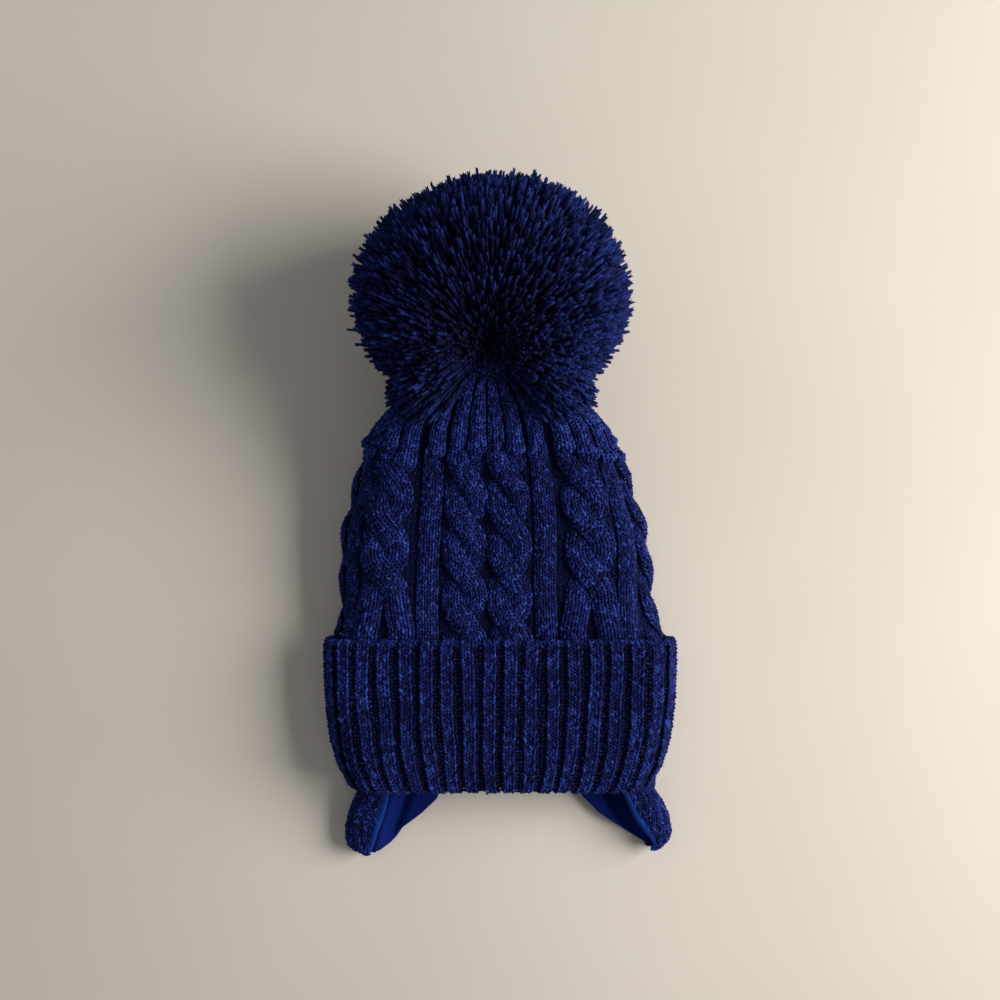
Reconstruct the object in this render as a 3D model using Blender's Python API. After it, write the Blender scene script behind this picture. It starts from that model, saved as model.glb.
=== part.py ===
"""A knitted baby beanie with ear flaps and a yarn pom-pom, lying flat on its back.

+Y runs from the hat's mouth to its pom-pom, +X is the wearer's side to side, and +Z is up
from the surface that the hat lies on. The origin is below the middle of the whole hat.
Sizes are in millimetres and become metres as each mesh is made.
"""
import math

import bmesh
import bpy
from mathutils import Vector

MM = 0.001
GAP = 0.3

# The turned-up cuff: a folded band of ribbing, a stadium in section.
CUFF_HALF_HEIGHT = 17.0
CUFF_HEM_Y = -52.4
CUFF_FOLD_Y = -124.6
CUFF_OUTER_WALL = 3.4
CUFF_SLOT = 0.6
CUFF_INNER_WALL = 3.0
CUFF_FLAT_HALF = [(-52.0, 67.6), (-70.0, 68.0), (-95.0, 65.8), (-110.0, 62.8), (-119.0, 58.2),
                  (-125.0, 54.5)]
CUFF_INNER_FACE = CUFF_OUTER_WALL + CUFF_SLOT + CUFF_INNER_WALL
CUFF_ROWS = (-62.0, -76.0, -90.0, -103.0, -113.0)

# The crown, as (y, half width, half height, height of its middle, middle across).
CROWN_WALL = 3.5
CROWN_BASE_Y = -55.0
CROWN = [
    (CROWN_BASE_Y, 79.4, 12.9, 17.0, 0.0),
    (-52.0, 79.4, 12.9, 17.0, 0.0),
    (-48.5, 77.2, 14.8, 16.9, -0.4),
    (-43.0, 76.2, 16.3, 17.3, -0.6),
    (-30.0, 74.9, 17.5, 18.4, -1.2),
    (-13.0, 74.0, 18.6, 19.6, -1.8),
    (0.0, 72.2, 19.6, 21.6, -2.2),
    (12.0, 68.0, 20.2, 24.6, -2.6),
    (24.0, 64.4, 20.4, 28.4, -2.9),
    (34.0, 59.9, 20.2, 32.4, -3.2),
    (45.0, 54.3, 19.2, 38.6, -3.5),
    (53.0, 46.8, 17.8, 43.6, -3.7),
    (58.5, 39.4, 16.2, 47.4, -3.8),
    (64.5, 30.0, 13.4, 51.2, -3.9),
    (68.5, 18.5, 10.2, 53.8, -4.0),
    (71.0, 11.0, 7.4, 55.2, -4.0),
    (72.0, 5.2, 4.8, 56.0, -4.0),
]
CROWN_DOME = 0.12

# The soft lining, cut in a front and a back.
LINING_THICK = 1.0
LINING_MOUTH_Y = -122.0
LINING_TOP_Y = 54.0
LINING_ROWS = (LINING_MOUTH_Y, -117.0, -110.0, -98.0, -84.0, -72.0, -62.0, -57.5, -49.0, -40.0,
               -26.0, -12.0, 4.0, 20.0, 35.0, 45.0, LINING_TOP_Y)
LINING_IN_CROWN = 1.6
LINING_STEP = 3.0
LINING_STEEP_Y, LINING_STEEP_INSET = 5.0, 0.07

# The yarn that closes the crown's panel.
SEAM_X, SEAM_RADIUS = -6.0, 0.4
SEAM_ROWS = (-50, -44, -36, -28, -20, -12, -4, 4, 12, 20, 28, 36, 43)

# The tie that holds the pom-pom, on one line through the gathered top.
PIVOT = Vector((-4.0, 70.0, 56.0))
TIE_RADIUS = 1.2
LOOP_SPAN = (64.0, 72.6)
CORD_SPAN = (73.2, 82.6)
KNOT_Y, KNOT_Z, KNOT_RADIUS = 60.2, 54.0, 2.6
GATHER_Y, GATHER_RADIUS, THREAD_RADIUS = 70.6, 3.3, 0.6
BINDING_Y, BINDING_RADIUS, BINDING_THICK = 86.0, 4.2, 1.5

# The pom-pom: an ellipsoid, hollowed where the top of the crown sinks into it.
POM_MIDDLE = Vector((-4.0, 104.8, 57.0))
POM_RADIUS = Vector((63.0, 55.0, 57.0))
POM_WELL_RADIUS, POM_WELL_Y = 7.2, 90.0
POM_BOWL = [(7.2, 79.5), (18.0, 77.0), (30.0, 73.5), (38.0, 69.6), (42.4, 66.5)]

# The ear flaps, as (y, front edge, fold, back edge, height), measured out from FLAP_MIDDLE_X.
FLAP_MIDDLE_X = 3.0
FLAP = [
    (-127.0, 54.0, 64.5, 33.5, 20.0),
    (-131.5, 55.6, 65.6, 35.2, 19.0),
    (-136.5, 57.8, 69.6, 39.0, 17.5),
    (-142.0, 60.0, 73.6, 45.5, 15.6),
    (-147.0, 61.6, 75.6, 52.0, 14.0),
    (-151.5, 62.6, 75.4, 57.2, 12.8),
    (-155.0, 64.4, 74.0, 61.4, 12.0),
    (-157.05, 66.2, 71.6, 65.0, 11.4),
]
FLAP_WALL = 3.0
FLAP_LINING = 1.2
FLAP_FOLD_ROOM = 1.7
FLAP_HINGE_X, FLAP_HINGE_Y, FLAP_HINGE_Z = 50.0, -126.0, 9.0
FLAP_TRIM_RADIUS = 1.1
FLAP_SEAM = (-123.3, 9.3, 0.6)
FLAP_SEAM_ROWS = (36.0, 41.0, 46.0, 51.0, 55.0)

RING_STEPS = 40


def clear_scene():
    for old in list(bpy.data.objects):
        bpy.data.objects.remove(old, do_unlink=True)


def yarn_material(name, colour, roughness):
    material = bpy.data.materials.new(name)
    material.use_nodes = True
    shader = material.node_tree.nodes["Principled BSDF"]
    shader.inputs["Base Color"].default_value = (*colour, 1.0)
    shader.inputs["Roughness"].default_value = roughness
    shader.inputs["Metallic"].default_value = 0.0
    return material


def empty_at(name, place, parent=None):
    """An empty on a joint's axis, in the hat's frame."""
    empty = bpy.data.objects.new(name, None)
    empty.empty_display_size = 10 * MM
    empty.location = place * MM - parent_place(parent)
    empty.parent = parent
    bpy.context.scene.collection.objects.link(empty)
    bpy.context.view_layer.update()
    return empty


def parent_place(parent):
    return parent.matrix_world.translation if parent else Vector()


def add_piece(name, bm, material, parent=None):
    """Turns a bmesh in millimetres and in the hat's frame into a named object under its parent."""
    place = parent_place(parent)
    bmesh.ops.scale(bm, verts=bm.verts, vec=(MM, MM, MM))
    bmesh.ops.translate(bm, verts=bm.verts, vec=-place)
    mesh = bpy.data.meshes.new(name)
    bm.to_mesh(mesh)
    bm.free()
    mesh.shade_smooth()
    mesh.set_sharp_from_angle(angle=math.radians(50))
    mesh.materials.append(material)
    piece = bpy.data.objects.new(name, mesh)
    piece.parent = parent
    bpy.context.scene.collection.objects.link(piece)
    return piece


def thicken(piece, wall):
    """Gives an open sheet its wall, on the inside of its surface."""
    solidify = piece.modifiers.new("wall", "SOLIDIFY")
    solidify.thickness = wall * MM
    solidify.offset = -1.0
    solidify.use_even_offset = True
    return piece


def between(stations, y, column):
    """A smooth value at y from stations that run in one direction along y."""
    rows = sorted(stations)
    y = min(max(y, rows[0][0]), rows[-1][0])
    last = len(rows) - 1
    i = next(k for k in range(last) if y <= rows[k + 1][0])
    before, a, b, after = (rows[k] for k in (max(i - 1, 0), i, i + 1, min(i + 2, last)))
    t = (y - a[0]) / (b[0] - a[0])
    span = b[0] - a[0]
    start = (b[column] - before[column]) / (b[0] - before[0]) * span
    end = (after[column] - a[column]) / (after[0] - a[0]) * span
    cubic = 2 * t**3 - 3 * t**2
    return (a[column] * (1 + cubic) + b[column] * -cubic
            + start * (t**3 - 2 * t**2 + t) + end * (t**3 - t**2))


def stadium(flat_half, radius, steps=RING_STEPS):
    """Points (x, z) round a stadium: two flats joined by half circles, the same count on each."""
    quarter = steps // 4
    points = []
    for k in range(quarter):
        points.append((flat_half * (1 - 2 * k / quarter), radius))
    for k in range(quarter):
        angle = math.pi / 2 + math.pi * k / quarter
        points.append((-flat_half + radius * math.cos(angle), radius * math.sin(angle)))
    for k in range(quarter):
        points.append((-flat_half * (1 - 2 * k / quarter), -radius))
    for k in range(quarter):
        angle = -math.pi / 2 + math.pi * k / quarter
        points.append((flat_half + radius * math.cos(angle), radius * math.sin(angle)))
    return points


def crown_section(y, inset=0.0):
    """The crown's ring at y as points, with its flats domed a little."""
    half_width, half_height, middle_z, middle_x = (between(CROWN, y, c) for c in (1, 2, 3, 4))
    half_width -= inset
    half_height -= inset
    flat_half = max(half_width - half_height, 0.0)
    ring = []
    for x, z in stadium(flat_half, half_height):
        dome = 1.0 - CROWN_DOME * (x / half_width) ** 2 * (flat_half / half_width)
        ring.append(Vector((middle_x + x, y, middle_z + z * dome)))
    return ring


def cuff_section(y, depth):
    """The cuff's ring at y, depth inside its outer face; its underside lies at a height of depth."""
    flat_half = between(CUFF_FLAT_HALF, y, 1)
    return [Vector((x, y, CUFF_HALF_HEIGHT + z))
            for x, z in stadium(flat_half, CUFF_HALF_HEIGHT - depth)]


def start_ring(bm, points, closed=True):
    verts = [bm.verts.new(p) for p in points]
    pairs = list(zip(verts, verts[1:]))
    if closed:
        pairs.append((verts[-1], verts[0]))
    edges = [bm.edges.new(pair) for pair in pairs]
    return verts, edges


def extrude_ring(bm, verts, edges, points):
    """Extrudes a ring or a strip and moves its new vertices to points."""
    made = bmesh.ops.extrude_edge_only(bm, edges=edges)["geom"]
    new = {v for v in made if isinstance(v, bmesh.types.BMVert)}
    moved = []
    for old, place in zip(verts, points):
        twin = next(e.other_vert(old) for e in old.link_edges if e.other_vert(old) in new)
        twin.co = place
        moved.append(twin)
    new_edges = [e for e in made if isinstance(e, bmesh.types.BMEdge)
                 and e.verts[0] in new and e.verts[1] in new]
    return moved, new_edges


def loft(rings, closed=True, join_ends=False):
    """A bmesh through rings of equal count; join_ends closes the last onto the first."""
    bm = bmesh.new()
    verts, edges = start_ring(bm, rings[0], closed)
    for points in rings[1:]:
        verts, edges = extrude_ring(bm, verts, edges, points)
    if join_ends:
        extrude_ring(bm, verts, edges, rings[0])
        bmesh.ops.remove_doubles(bm, verts=bm.verts, dist=0.001)
    bmesh.ops.recalc_face_normals(bm, faces=bm.faces)
    return bm


def turned(profile, steps, middle):
    """Spins a profile of (radius, y) round the line through middle along Y."""
    bm = bmesh.new()
    verts, edges = start_ring(bm, [Vector((r, y, 0.0)) for r, y in profile], closed=False)
    bmesh.ops.spin(bm, geom=verts + edges, cent=(0, 0, 0), axis=(0, 1, 0),
                   angle=2 * math.pi, steps=steps, use_merge=True)
    bmesh.ops.remove_doubles(bm, verts=bm.verts, dist=0.001)
    bmesh.ops.recalc_face_normals(bm, faces=bm.faces)
    bmesh.ops.translate(bm, verts=bm.verts, vec=(middle.x, 0.0, middle.z))
    return bm


def rod_profile(start, end, radius, steps=4):
    """A round-ended rod from start to end along Y, as (radius, y)."""
    profile = []
    for k in range(steps + 1):
        angle = math.pi / 2 * k / steps
        profile.append((radius * math.sin(angle), start + radius - radius * math.cos(angle)))
    for k in range(steps + 1):
        angle = math.pi / 2 * k / steps
        profile.append((radius * math.cos(angle), end - radius + radius * math.sin(angle)))
    profile[0] = (0.0, start)
    profile[-1] = (0.0, end)
    return profile


def circle_profile(ring_radius, y, radius, steps=8):
    """A closed circle that turns into a ring."""
    points = [(ring_radius + radius * math.cos(2 * math.pi * k / steps),
               y + radius * math.sin(2 * math.pi * k / steps)) for k in range(steps)]
    return points + points[:1]


def ribbed_cuff(material):
    """The band of ribbing: an outer wall, a fold at the mouth and an inner wall."""
    fold = CUFF_INNER_FACE / 2
    inside_fold = CUFF_FOLD_Y + fold
    profile = [(0.5, CUFF_HEM_Y), (0.0, CUFF_HEM_Y - 1.0)]
    profile += [(0.0, y) for y in CUFF_ROWS]
    for k in range(7):
        angle = math.pi * k / 6
        profile.append((fold - fold * math.cos(angle), inside_fold - fold * math.sin(angle)))
    profile += [(CUFF_INNER_FACE, y) for y in CUFF_ROWS[::-1]]
    wall_top = CROWN_BASE_Y - GAP
    slot_face = CUFF_OUTER_WALL + CUFF_SLOT
    profile += [(CUFF_INNER_FACE, wall_top), (slot_face, wall_top)]
    profile += [(slot_face, y) for y in (*CUFF_ROWS, inside_fold)]
    profile += [(CUFF_OUTER_WALL, y) for y in (inside_fold, *CUFF_ROWS[::-1])]
    profile += [(CUFF_OUTER_WALL, CUFF_HEM_Y)]
    bm = loft([cuff_section(y, depth) for depth, y in profile], join_ends=True)
    return add_piece("ribbed_cuff", bm, material)


def crown(material):
    bm = loft([crown_section(row[0]) for row in CROWN])
    return thicken(add_piece("crown", bm, material), CROWN_WALL)


def lining_section(y):
    """A ring of the lining: inside the cuff's inner wall, then inside the crown."""
    if y < CROWN_BASE_Y - LINING_STEP:
        return cuff_section(y, CUFF_INNER_FACE + 2 * GAP)
    steeper = max(0.0, y - LINING_STEEP_Y) * LINING_STEEP_INSET
    return crown_section(y, CROWN_WALL + LINING_IN_CROWN + steeper)


def lining_half(name, material, front):
    """One half of the lining, from the hat's mouth up into the crown."""
    rings = []
    half = RING_STEPS // 2
    start = RING_STEPS * 7 // 8 + (0 if front else half)
    shift = GAP if front else -GAP
    for y in LINING_ROWS:
        ring = lining_section(y)
        turn = [ring[(start + k) % RING_STEPS] for k in range(half + 1)]
        turn[0] = turn[0] + Vector((0, 0, shift))
        turn[-1] = turn[-1] + Vector((0, 0, shift))
        rings.append(turn)
    bm = loft(rings, closed=False)
    outward = sum(f.normal.z * f.calc_area() for f in bm.faces)
    if (outward < 0) == front:
        bmesh.ops.reverse_faces(bm, faces=bm.faces)
    return thicken(add_piece(name, bm, material), LINING_THICK)


def tube(name, points, radius, material, parent=None, resolution=2):
    """A round cord through points."""
    place = parent_place(parent)
    curve = bpy.data.curves.new(name, "CURVE")
    curve.dimensions = "3D"
    curve.bevel_depth = radius * MM
    curve.bevel_resolution = resolution
    curve.use_fill_caps = True
    spline = curve.splines.new("POLY")
    spline.points.add(len(points) - 1)
    for knot, point in zip(spline.points, points):
        knot.co = (*(point * MM - place), 1.0)
        knot.radius = 1.0
    curve.materials.append(material)
    piece = bpy.data.objects.new(name, curve)
    piece.parent = parent
    bpy.context.scene.collection.objects.link(piece)
    return piece


def crown_seam(material):
    """The yarn that closes the crown's panel, on its inside under the front cables."""
    depth = CROWN_WALL + GAP + 0.5
    points = []
    for y in SEAM_ROWS:
        half_height, middle_z = between(CROWN, y, 2), between(CROWN, y, 3)
        points.append(Vector((SEAM_X, y, middle_z + half_height - depth)))
    return tube("crown_seam", points, SEAM_RADIUS, material)


def pom_yarn(material, parent):
    """The trimmed ball of yarn, with a bowl for the crown and a well for its binding."""
    mean = (POM_RADIUS.x + POM_RADIUS.z) / 2
    profile = [(0.0, POM_WELL_Y), (POM_WELL_RADIUS, POM_WELL_Y), *POM_BOWL]
    rim_r, rim_y = POM_BOWL[-1]
    start = math.atan2((rim_y - POM_MIDDLE.y) / POM_RADIUS.y, rim_r / mean)
    steps = 13
    for k in range(1, steps + 1):
        angle = start + (math.pi / 2 - start) * k / steps
        profile.append((mean * math.cos(angle), POM_MIDDLE.y + POM_RADIUS.y * math.sin(angle)))
    profile[-1] = (0.0, POM_MIDDLE.y + POM_RADIUS.y)
    bm = turned(profile, 36, Vector())
    bmesh.ops.scale(bm, verts=bm.verts, vec=(POM_RADIUS.x / mean, 1.0, POM_RADIUS.z / mean))
    bmesh.ops.translate(bm, verts=bm.verts, vec=(POM_MIDDLE.x, 0.0, POM_MIDDLE.z))
    return add_piece("pom_yarn", bm, material, parent)


def flap_section(y, inset):
    """One open C of an ear flap, inset from its outer face: front edge, fold, back edge."""
    front, fold, back, height = (between(FLAP, y, c) for c in (1, 2, 3, 4))
    radius = height / 2
    centre = fold - radius
    reach = radius - inset
    reach_out = reach - (FLAP_FOLD_ROOM if inset else 0.0)
    points = [Vector((front, y, height - inset)), Vector(((front + centre) / 2, y, height - inset))]
    steps = 8
    for k in range(steps + 1):
        angle = math.pi / 2 - math.pi * k / steps
        points.append(Vector((centre + reach_out * math.cos(angle), y,
                              radius + reach * math.sin(angle))))
    points += [Vector((centre + (back - centre) * s, y, inset)) for s in (0.33, 0.66, 1.0)]
    return points


def to_side(points, side):
    return [Vector((FLAP_MIDDLE_X + side * p.x, p.y, p.z)) for p in points]


def flap_sheet(name, side, inset, wall, material, parent):
    """A C-shaped sheet of an ear flap, thickened towards its inside."""
    rings = [to_side(flap_section(row[0], inset), side) for row in FLAP]
    bm = loft(rings, closed=False)
    middle = Vector((FLAP_MIDDLE_X + side * 55.0, -140.0, 8.0))
    facing = sum((f.calc_center_median() - middle).dot(f.normal) for f in bm.faces)
    if facing < 0:
        bmesh.ops.reverse_faces(bm, faces=bm.faces)
    return thicken(add_piece(name, bm, material, parent), wall)


def flap_binding(name, side, material, parent):
    """The trim that edges an ear flap, from its front root round the tip to its back root."""
    out = FLAP_TRIM_RADIUS + GAP + 0.4
    middle = (FLAP_WALL + FLAP_LINING + GAP) / 2
    front, back = [], []
    for y, front_edge, _, back_edge, height in FLAP:
        front.append(Vector((front_edge - out, y, height - middle)))
        back.append(Vector((back_edge - out, y, middle)))
    tip_y = FLAP[-1][0] - out
    tip_height = FLAP[-1][4]
    front[-1].x -= 0.6
    back[-1].x -= 0.6
    round_tip = [Vector((front[-1].x + 0.8, tip_y, tip_height - middle - 1.5)),
                 Vector((back[-1].x + 0.8, tip_y, middle + 1.5))]
    points = to_side(front + round_tip + back[::-1], side)
    return tube(name, points, FLAP_TRIM_RADIUS, material, parent)


def flap_seam(name, side, material):
    """The row of stitches that joins an ear flap to the hat's mouth."""
    y, z, radius = FLAP_SEAM
    points = to_side([Vector((m, y, z)) for m in FLAP_SEAM_ROWS], side)
    return tube(name, points, radius, material)


def build():
    clear_scene()
    knit = yarn_material("knit_yarn", (0.012, 0.022, 0.105), 0.9)
    jersey = yarn_material("lining_jersey", (0.010, 0.020, 0.130), 0.8)
    trim = yarn_material("flap_trim", (0.012, 0.050, 0.190), 0.75)
    thread = yarn_material("sewing_yarn", (0.010, 0.018, 0.085), 0.85)
    pom = yarn_material("pom_strands", (0.008, 0.016, 0.085), 0.92)

    crown(knit)
    ribbed_cuff(knit)
    lining_half("lining_front", jersey, True)
    lining_half("lining_back", jersey, False)
    crown_seam(thread)
    add_piece("gather_thread", turned(circle_profile(GATHER_RADIUS, GATHER_Y, THREAD_RADIUS), 18,
                                      PIVOT), thread)
    knot = rod_profile(KNOT_Y - KNOT_RADIUS, KNOT_Y + KNOT_RADIUS, KNOT_RADIUS)
    add_piece("tie_knot", turned(knot, 16, Vector((PIVOT.x, 0.0, KNOT_Z))), thread)

    nod = empty_at("pom_nod_axis", PIVOT)
    sway = empty_at("pom_sway_axis", PIVOT, nod)
    twist = empty_at("pom_twist_axis", PIVOT, sway)
    add_piece("tie_loop", turned(rod_profile(*LOOP_SPAN, TIE_RADIUS), 14, PIVOT), thread, nod)
    add_piece("tie_cord", turned(rod_profile(*CORD_SPAN, TIE_RADIUS), 14, PIVOT), thread, sway)
    binding = circle_profile(BINDING_RADIUS, BINDING_Y, BINDING_THICK)
    add_piece("pom_binding", turned(binding, 18, PIVOT), thread, twist)
    pom_yarn(pom, twist)

    for side, word in ((-1, "left"), (1, "right")):
        place = Vector((FLAP_MIDDLE_X + side * FLAP_HINGE_X, FLAP_HINGE_Y, FLAP_HINGE_Z))
        hinge = empty_at(f"{word}_flap_axis", place)
        flap_sheet(f"{word}_flap_knit", side, 0.0, FLAP_WALL, knit, hinge)
        flap_sheet(f"{word}_flap_lining", side, FLAP_WALL + 2 * GAP, FLAP_LINING, jersey, hinge)
        flap_binding(f"{word}_flap_binding", side, trim, hinge)
        flap_seam(f"{word}_flap_seam", side, thread)


build()
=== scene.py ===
# %% [markdown]
# # A cable-knit baby beanie with a pom-pom
#
# The hat lies flat on its back on a table, pom-pom away from us. It is knitted, so almost
# everything that the eye reads as "wool" is the same small thing repeated: a stitch that
# looks like a V, made of two leaning legs of yarn. This lesson builds those legs once and
# then lays thousands of them along paths on the hat's own surface.
#
# The solid model of the hat is loaded first as a fixed frame. It tells us where every part
# is, so no size is invented here when it can be measured there.

# %% Load the frame
import math

import bmesh
import bpy
import numpy as np
from mathutils import Matrix, Vector
from mathutils.bvhtree import BVHTree


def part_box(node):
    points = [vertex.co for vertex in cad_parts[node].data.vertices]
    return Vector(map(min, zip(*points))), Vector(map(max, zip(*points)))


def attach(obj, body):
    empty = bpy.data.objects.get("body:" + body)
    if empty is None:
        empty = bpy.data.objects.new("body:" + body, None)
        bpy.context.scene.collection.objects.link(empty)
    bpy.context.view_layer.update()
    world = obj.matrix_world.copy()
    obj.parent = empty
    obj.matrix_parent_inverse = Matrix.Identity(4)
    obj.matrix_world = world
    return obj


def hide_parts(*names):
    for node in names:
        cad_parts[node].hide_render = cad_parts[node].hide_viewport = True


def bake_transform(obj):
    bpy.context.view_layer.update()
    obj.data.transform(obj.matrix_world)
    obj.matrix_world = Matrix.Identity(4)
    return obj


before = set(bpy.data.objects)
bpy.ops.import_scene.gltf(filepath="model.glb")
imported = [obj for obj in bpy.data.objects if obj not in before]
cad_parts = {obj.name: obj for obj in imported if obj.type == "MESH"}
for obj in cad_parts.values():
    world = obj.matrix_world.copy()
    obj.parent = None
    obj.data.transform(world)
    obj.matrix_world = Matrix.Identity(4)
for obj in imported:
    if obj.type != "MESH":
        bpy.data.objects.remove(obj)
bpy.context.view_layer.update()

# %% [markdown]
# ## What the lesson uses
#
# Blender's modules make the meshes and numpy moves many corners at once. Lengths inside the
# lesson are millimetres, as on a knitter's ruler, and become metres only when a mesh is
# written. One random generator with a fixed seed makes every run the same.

MM = 0.001
rng = np.random.default_rng(7)
print("parts in the frame:", ", ".join(sorted(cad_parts)))

# %% [markdown]
# ## The camera, the light and the table
#
# A hat laid on a table is usually looked at from straight above, like a page. A single lens
# a bit over half a metre up gives the slight swelling that near things have: the tall
# pom-pom looks a little larger than it is. The table is a plain pale board, and the light is
# one large soft lamp from the right with a pale sky, so that each rib has a lit side and
# a dark side.

# %% Camera
CAMERA_HEIGHT = 0.600
CAMERA_AHEAD = 0.0131
HALF_VIEW = 0.413

camera_data = bpy.data.cameras.new("camera")
camera_data.sensor_width = 36.0
camera_data.lens = 18.0 / HALF_VIEW
camera = bpy.data.objects.new("camera", camera_data)
camera.location = (0.0, CAMERA_AHEAD, CAMERA_HEIGHT)
bpy.context.scene.collection.objects.link(camera)
bpy.context.scene.camera = camera

# %% [markdown]
# The lamp stands low on the right, so it rakes across the ribs. The second lamp and the sky
# only keep the shadows from going black.

# %% Light and sky
def soft_lamp(name, place, size, watts, colour):
    """A square lamp that faces the middle of the table."""
    data = bpy.data.lights.new(name, "AREA")
    data.size = size
    data.energy = watts
    data.color = colour
    lamp = bpy.data.objects.new(name, data)
    lamp.location = place
    lamp.rotation_euler = (-Vector(place)).to_track_quat("-Z", "Y").to_euler()
    bpy.context.scene.collection.objects.link(lamp)
    print(f"lamp {name}: {watts} W, {size * 1000:.0f} mm across")


soft_lamp("window", (0.98, 0.08, 0.66), 0.80, 21.5, (1.0, 0.98, 0.95))
soft_lamp("room", (-0.5, 0.7, 0.9), 0.90, 1.2, (0.92, 0.96, 1.0))
sky = bpy.data.worlds.new("sky")
sky.use_nodes = True
sky_light = sky.node_tree.nodes["Background"].inputs
sky_light["Color"].default_value = (0.90, 0.94, 1.0, 1.0)
sky_light["Strength"].default_value = 0.22
bpy.context.scene.world = sky
bpy.context.scene.view_settings.view_transform = "Standard"

# %% [markdown]
# ## Small helpers for materials
#
# Every finish here is a Principled shader fed by a few nodes. Short helpers keep the cells
# readable: one makes the shader, one adds any node and joins its inputs, and the others add
# the four kinds of node that come up again and again.

# %% Material helpers
def finish(name, roughness, sheen=0.0, sheen_tint=(1.0, 1.0, 1.0), specular=0.3):
    """A new Principled material; gives the material, its tree and its shader."""
    material = bpy.data.materials.new(name)
    material.use_nodes = True
    tree = material.node_tree
    shader = tree.nodes["Principled BSDF"]
    shader.inputs["Roughness"].default_value = roughness
    shader.inputs["Specular IOR Level"].default_value = specular
    shader.inputs["Sheen Weight"].default_value = sheen
    shader.inputs["Sheen Roughness"].default_value = 0.45
    shader.inputs["Sheen Tint"].default_value = (*sheen_tint, 1.0)
    return material, tree, shader


def add(tree, kind, **inputs):
    """Adds a node. An input that is a socket is joined; any other value is set."""
    node = tree.nodes.new("ShaderNode" + kind)
    for key, value in inputs.items():
        name = key.replace("_", " ")
        if name not in node.inputs:
            setattr(node, key, value)
        elif isinstance(value, bpy.types.NodeSocket):
            tree.links.new(value, node.inputs[name])
        else:
            node.inputs[name].default_value = value
    return node


def ramp(tree, factor, stops):
    """A colour ramp over (position, linear colour) stops."""
    node = tree.nodes.new("ShaderNodeValToRGB")
    points = node.color_ramp.elements
    while len(points) < len(stops):
        points.new(0.5)
    for point, (position, colour) in zip(points, stops):
        point.position = position
        point.color = (*colour, 1.0)
    tree.links.new(factor, node.inputs["Fac"])
    return node.outputs["Color"]


def maths(tree, operation, a, b=0.5, c=0.5):
    """A sum or function of up to three numbers or sockets."""
    node = tree.nodes.new("ShaderNodeMath")
    node.operation = operation
    for socket, value in zip(node.inputs, (a, b, c)):
        if isinstance(value, bpy.types.NodeSocket):
            tree.links.new(value, socket)
        else:
            socket.default_value = value
    return node.outputs["Value"]


def noise(tree, vector, scale, detail=2.0, roughness=0.5):
    """Cloudy noise, about 1 / scale metres from one cloud to the next."""
    node = tree.nodes.new("ShaderNodeTexNoise")
    tree.links.new(vector, node.inputs["Vector"])
    node.inputs["Scale"].default_value = scale
    node.inputs["Detail"].default_value = detail
    node.inputs["Roughness"].default_value = roughness
    return node.outputs["Fac"]


def bump(tree, height, distance, strength=1.0, before=None):
    """Raised relief, distance metres high, on top of an earlier relief if there is one."""
    node = tree.nodes.new("ShaderNodeBump")
    node.inputs["Strength"].default_value = strength
    node.inputs["Distance"].default_value = distance
    tree.links.new(height, node.inputs["Height"])
    if before:
        tree.links.new(before, node.inputs["Normal"])
    return node.outputs["Normal"]


def dress(tree, shader, colour, normal=None):
    """Joins a colour, and a relief if there is one, to the shader."""
    tree.links.new(colour, shader.inputs["Base Color"])
    if normal:
        tree.links.new(normal, shader.inputs["Normal"])


# %% [markdown]
# ## Yarn
#
# Navy yarn isn't one blue. It is spun from fibres dyed slightly apart, so every stitch is a
# touch lighter or darker than its neighbour, and each strand shows the diagonal twist of its
# plies. Here each copy of a stitch carries a random number called *shade*, a fine noise
# breaks it up, and stripes that run slantwise over the strand's own UV map raise the plies.
# A little sheen stands for the fuzz that catches light at grazing angles.

# %% Yarn material
STRAND_TURNS = 6.0


def yarn(name, dark, middle, light, sheen=0.10, plies=3.0, tips=0.0):
    """Heathered yarn in three blues; tips paints light on the outer end of a strand and shade on
    its inner part.
    """
    material, tree, shader = finish(name, 0.85, sheen, (0.20, 0.34, 1.0), 0.10)
    where = add(tree, "TexCoord").outputs["Object"]
    shade = add(tree, "Attribute", attribute_name="shade").outputs["Fac"]
    heather = noise(tree, where, 1300.0, 3.0, 0.6)
    patch = noise(tree, where, 45.0, 2.0)
    mixed = maths(tree, "MULTIPLY_ADD", heather, 1.40, maths(tree, "MULTIPLY", shade, 0.60))
    mixed = maths(tree, "ADD", mixed, maths(tree, "MULTIPLY_ADD", patch, 0.30, -0.65))
    strand = add(tree, "UVMap", uv_map="strand").outputs["UV"]
    parts = add(tree, "SeparateXYZ", Vector=strand)
    # Painted light and shade: the outer end of a strand is lightened and its inner part darkened.
    if tips:
        along = maths(tree, "MULTIPLY", parts.outputs["Y"], 1 / STRAND_TURNS)
        painted_tip_light = maths(tree, "POWER", along, 4.0)
        mixed = maths(tree, "MULTIPLY_ADD", painted_tip_light, tips, maths(tree, "ADD", mixed, -tips / 2))
    tree.links.new(maths(tree, "MULTIPLY_ADD", heather, 0.25, 0.70), shader.inputs["Roughness"])
    slant = maths(tree, "MULTIPLY_ADD", parts.outputs["Y"], 2.0,
                  maths(tree, "MULTIPLY", parts.outputs["X"], plies))
    twist = maths(tree, "SINE", maths(tree, "MULTIPLY", slant, 2 * math.pi))
    plied = bump(tree, twist, 0.00012, 0.8)
    fibres = noise(tree, where, 4200.0, 2.0)
    dress(tree, shader, ramp(tree, mixed, [(0.12, dark), (0.50, middle), (0.92, light)]),
          bump(tree, fibres, 0.00010, 0.6, plied))
    return material


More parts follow.
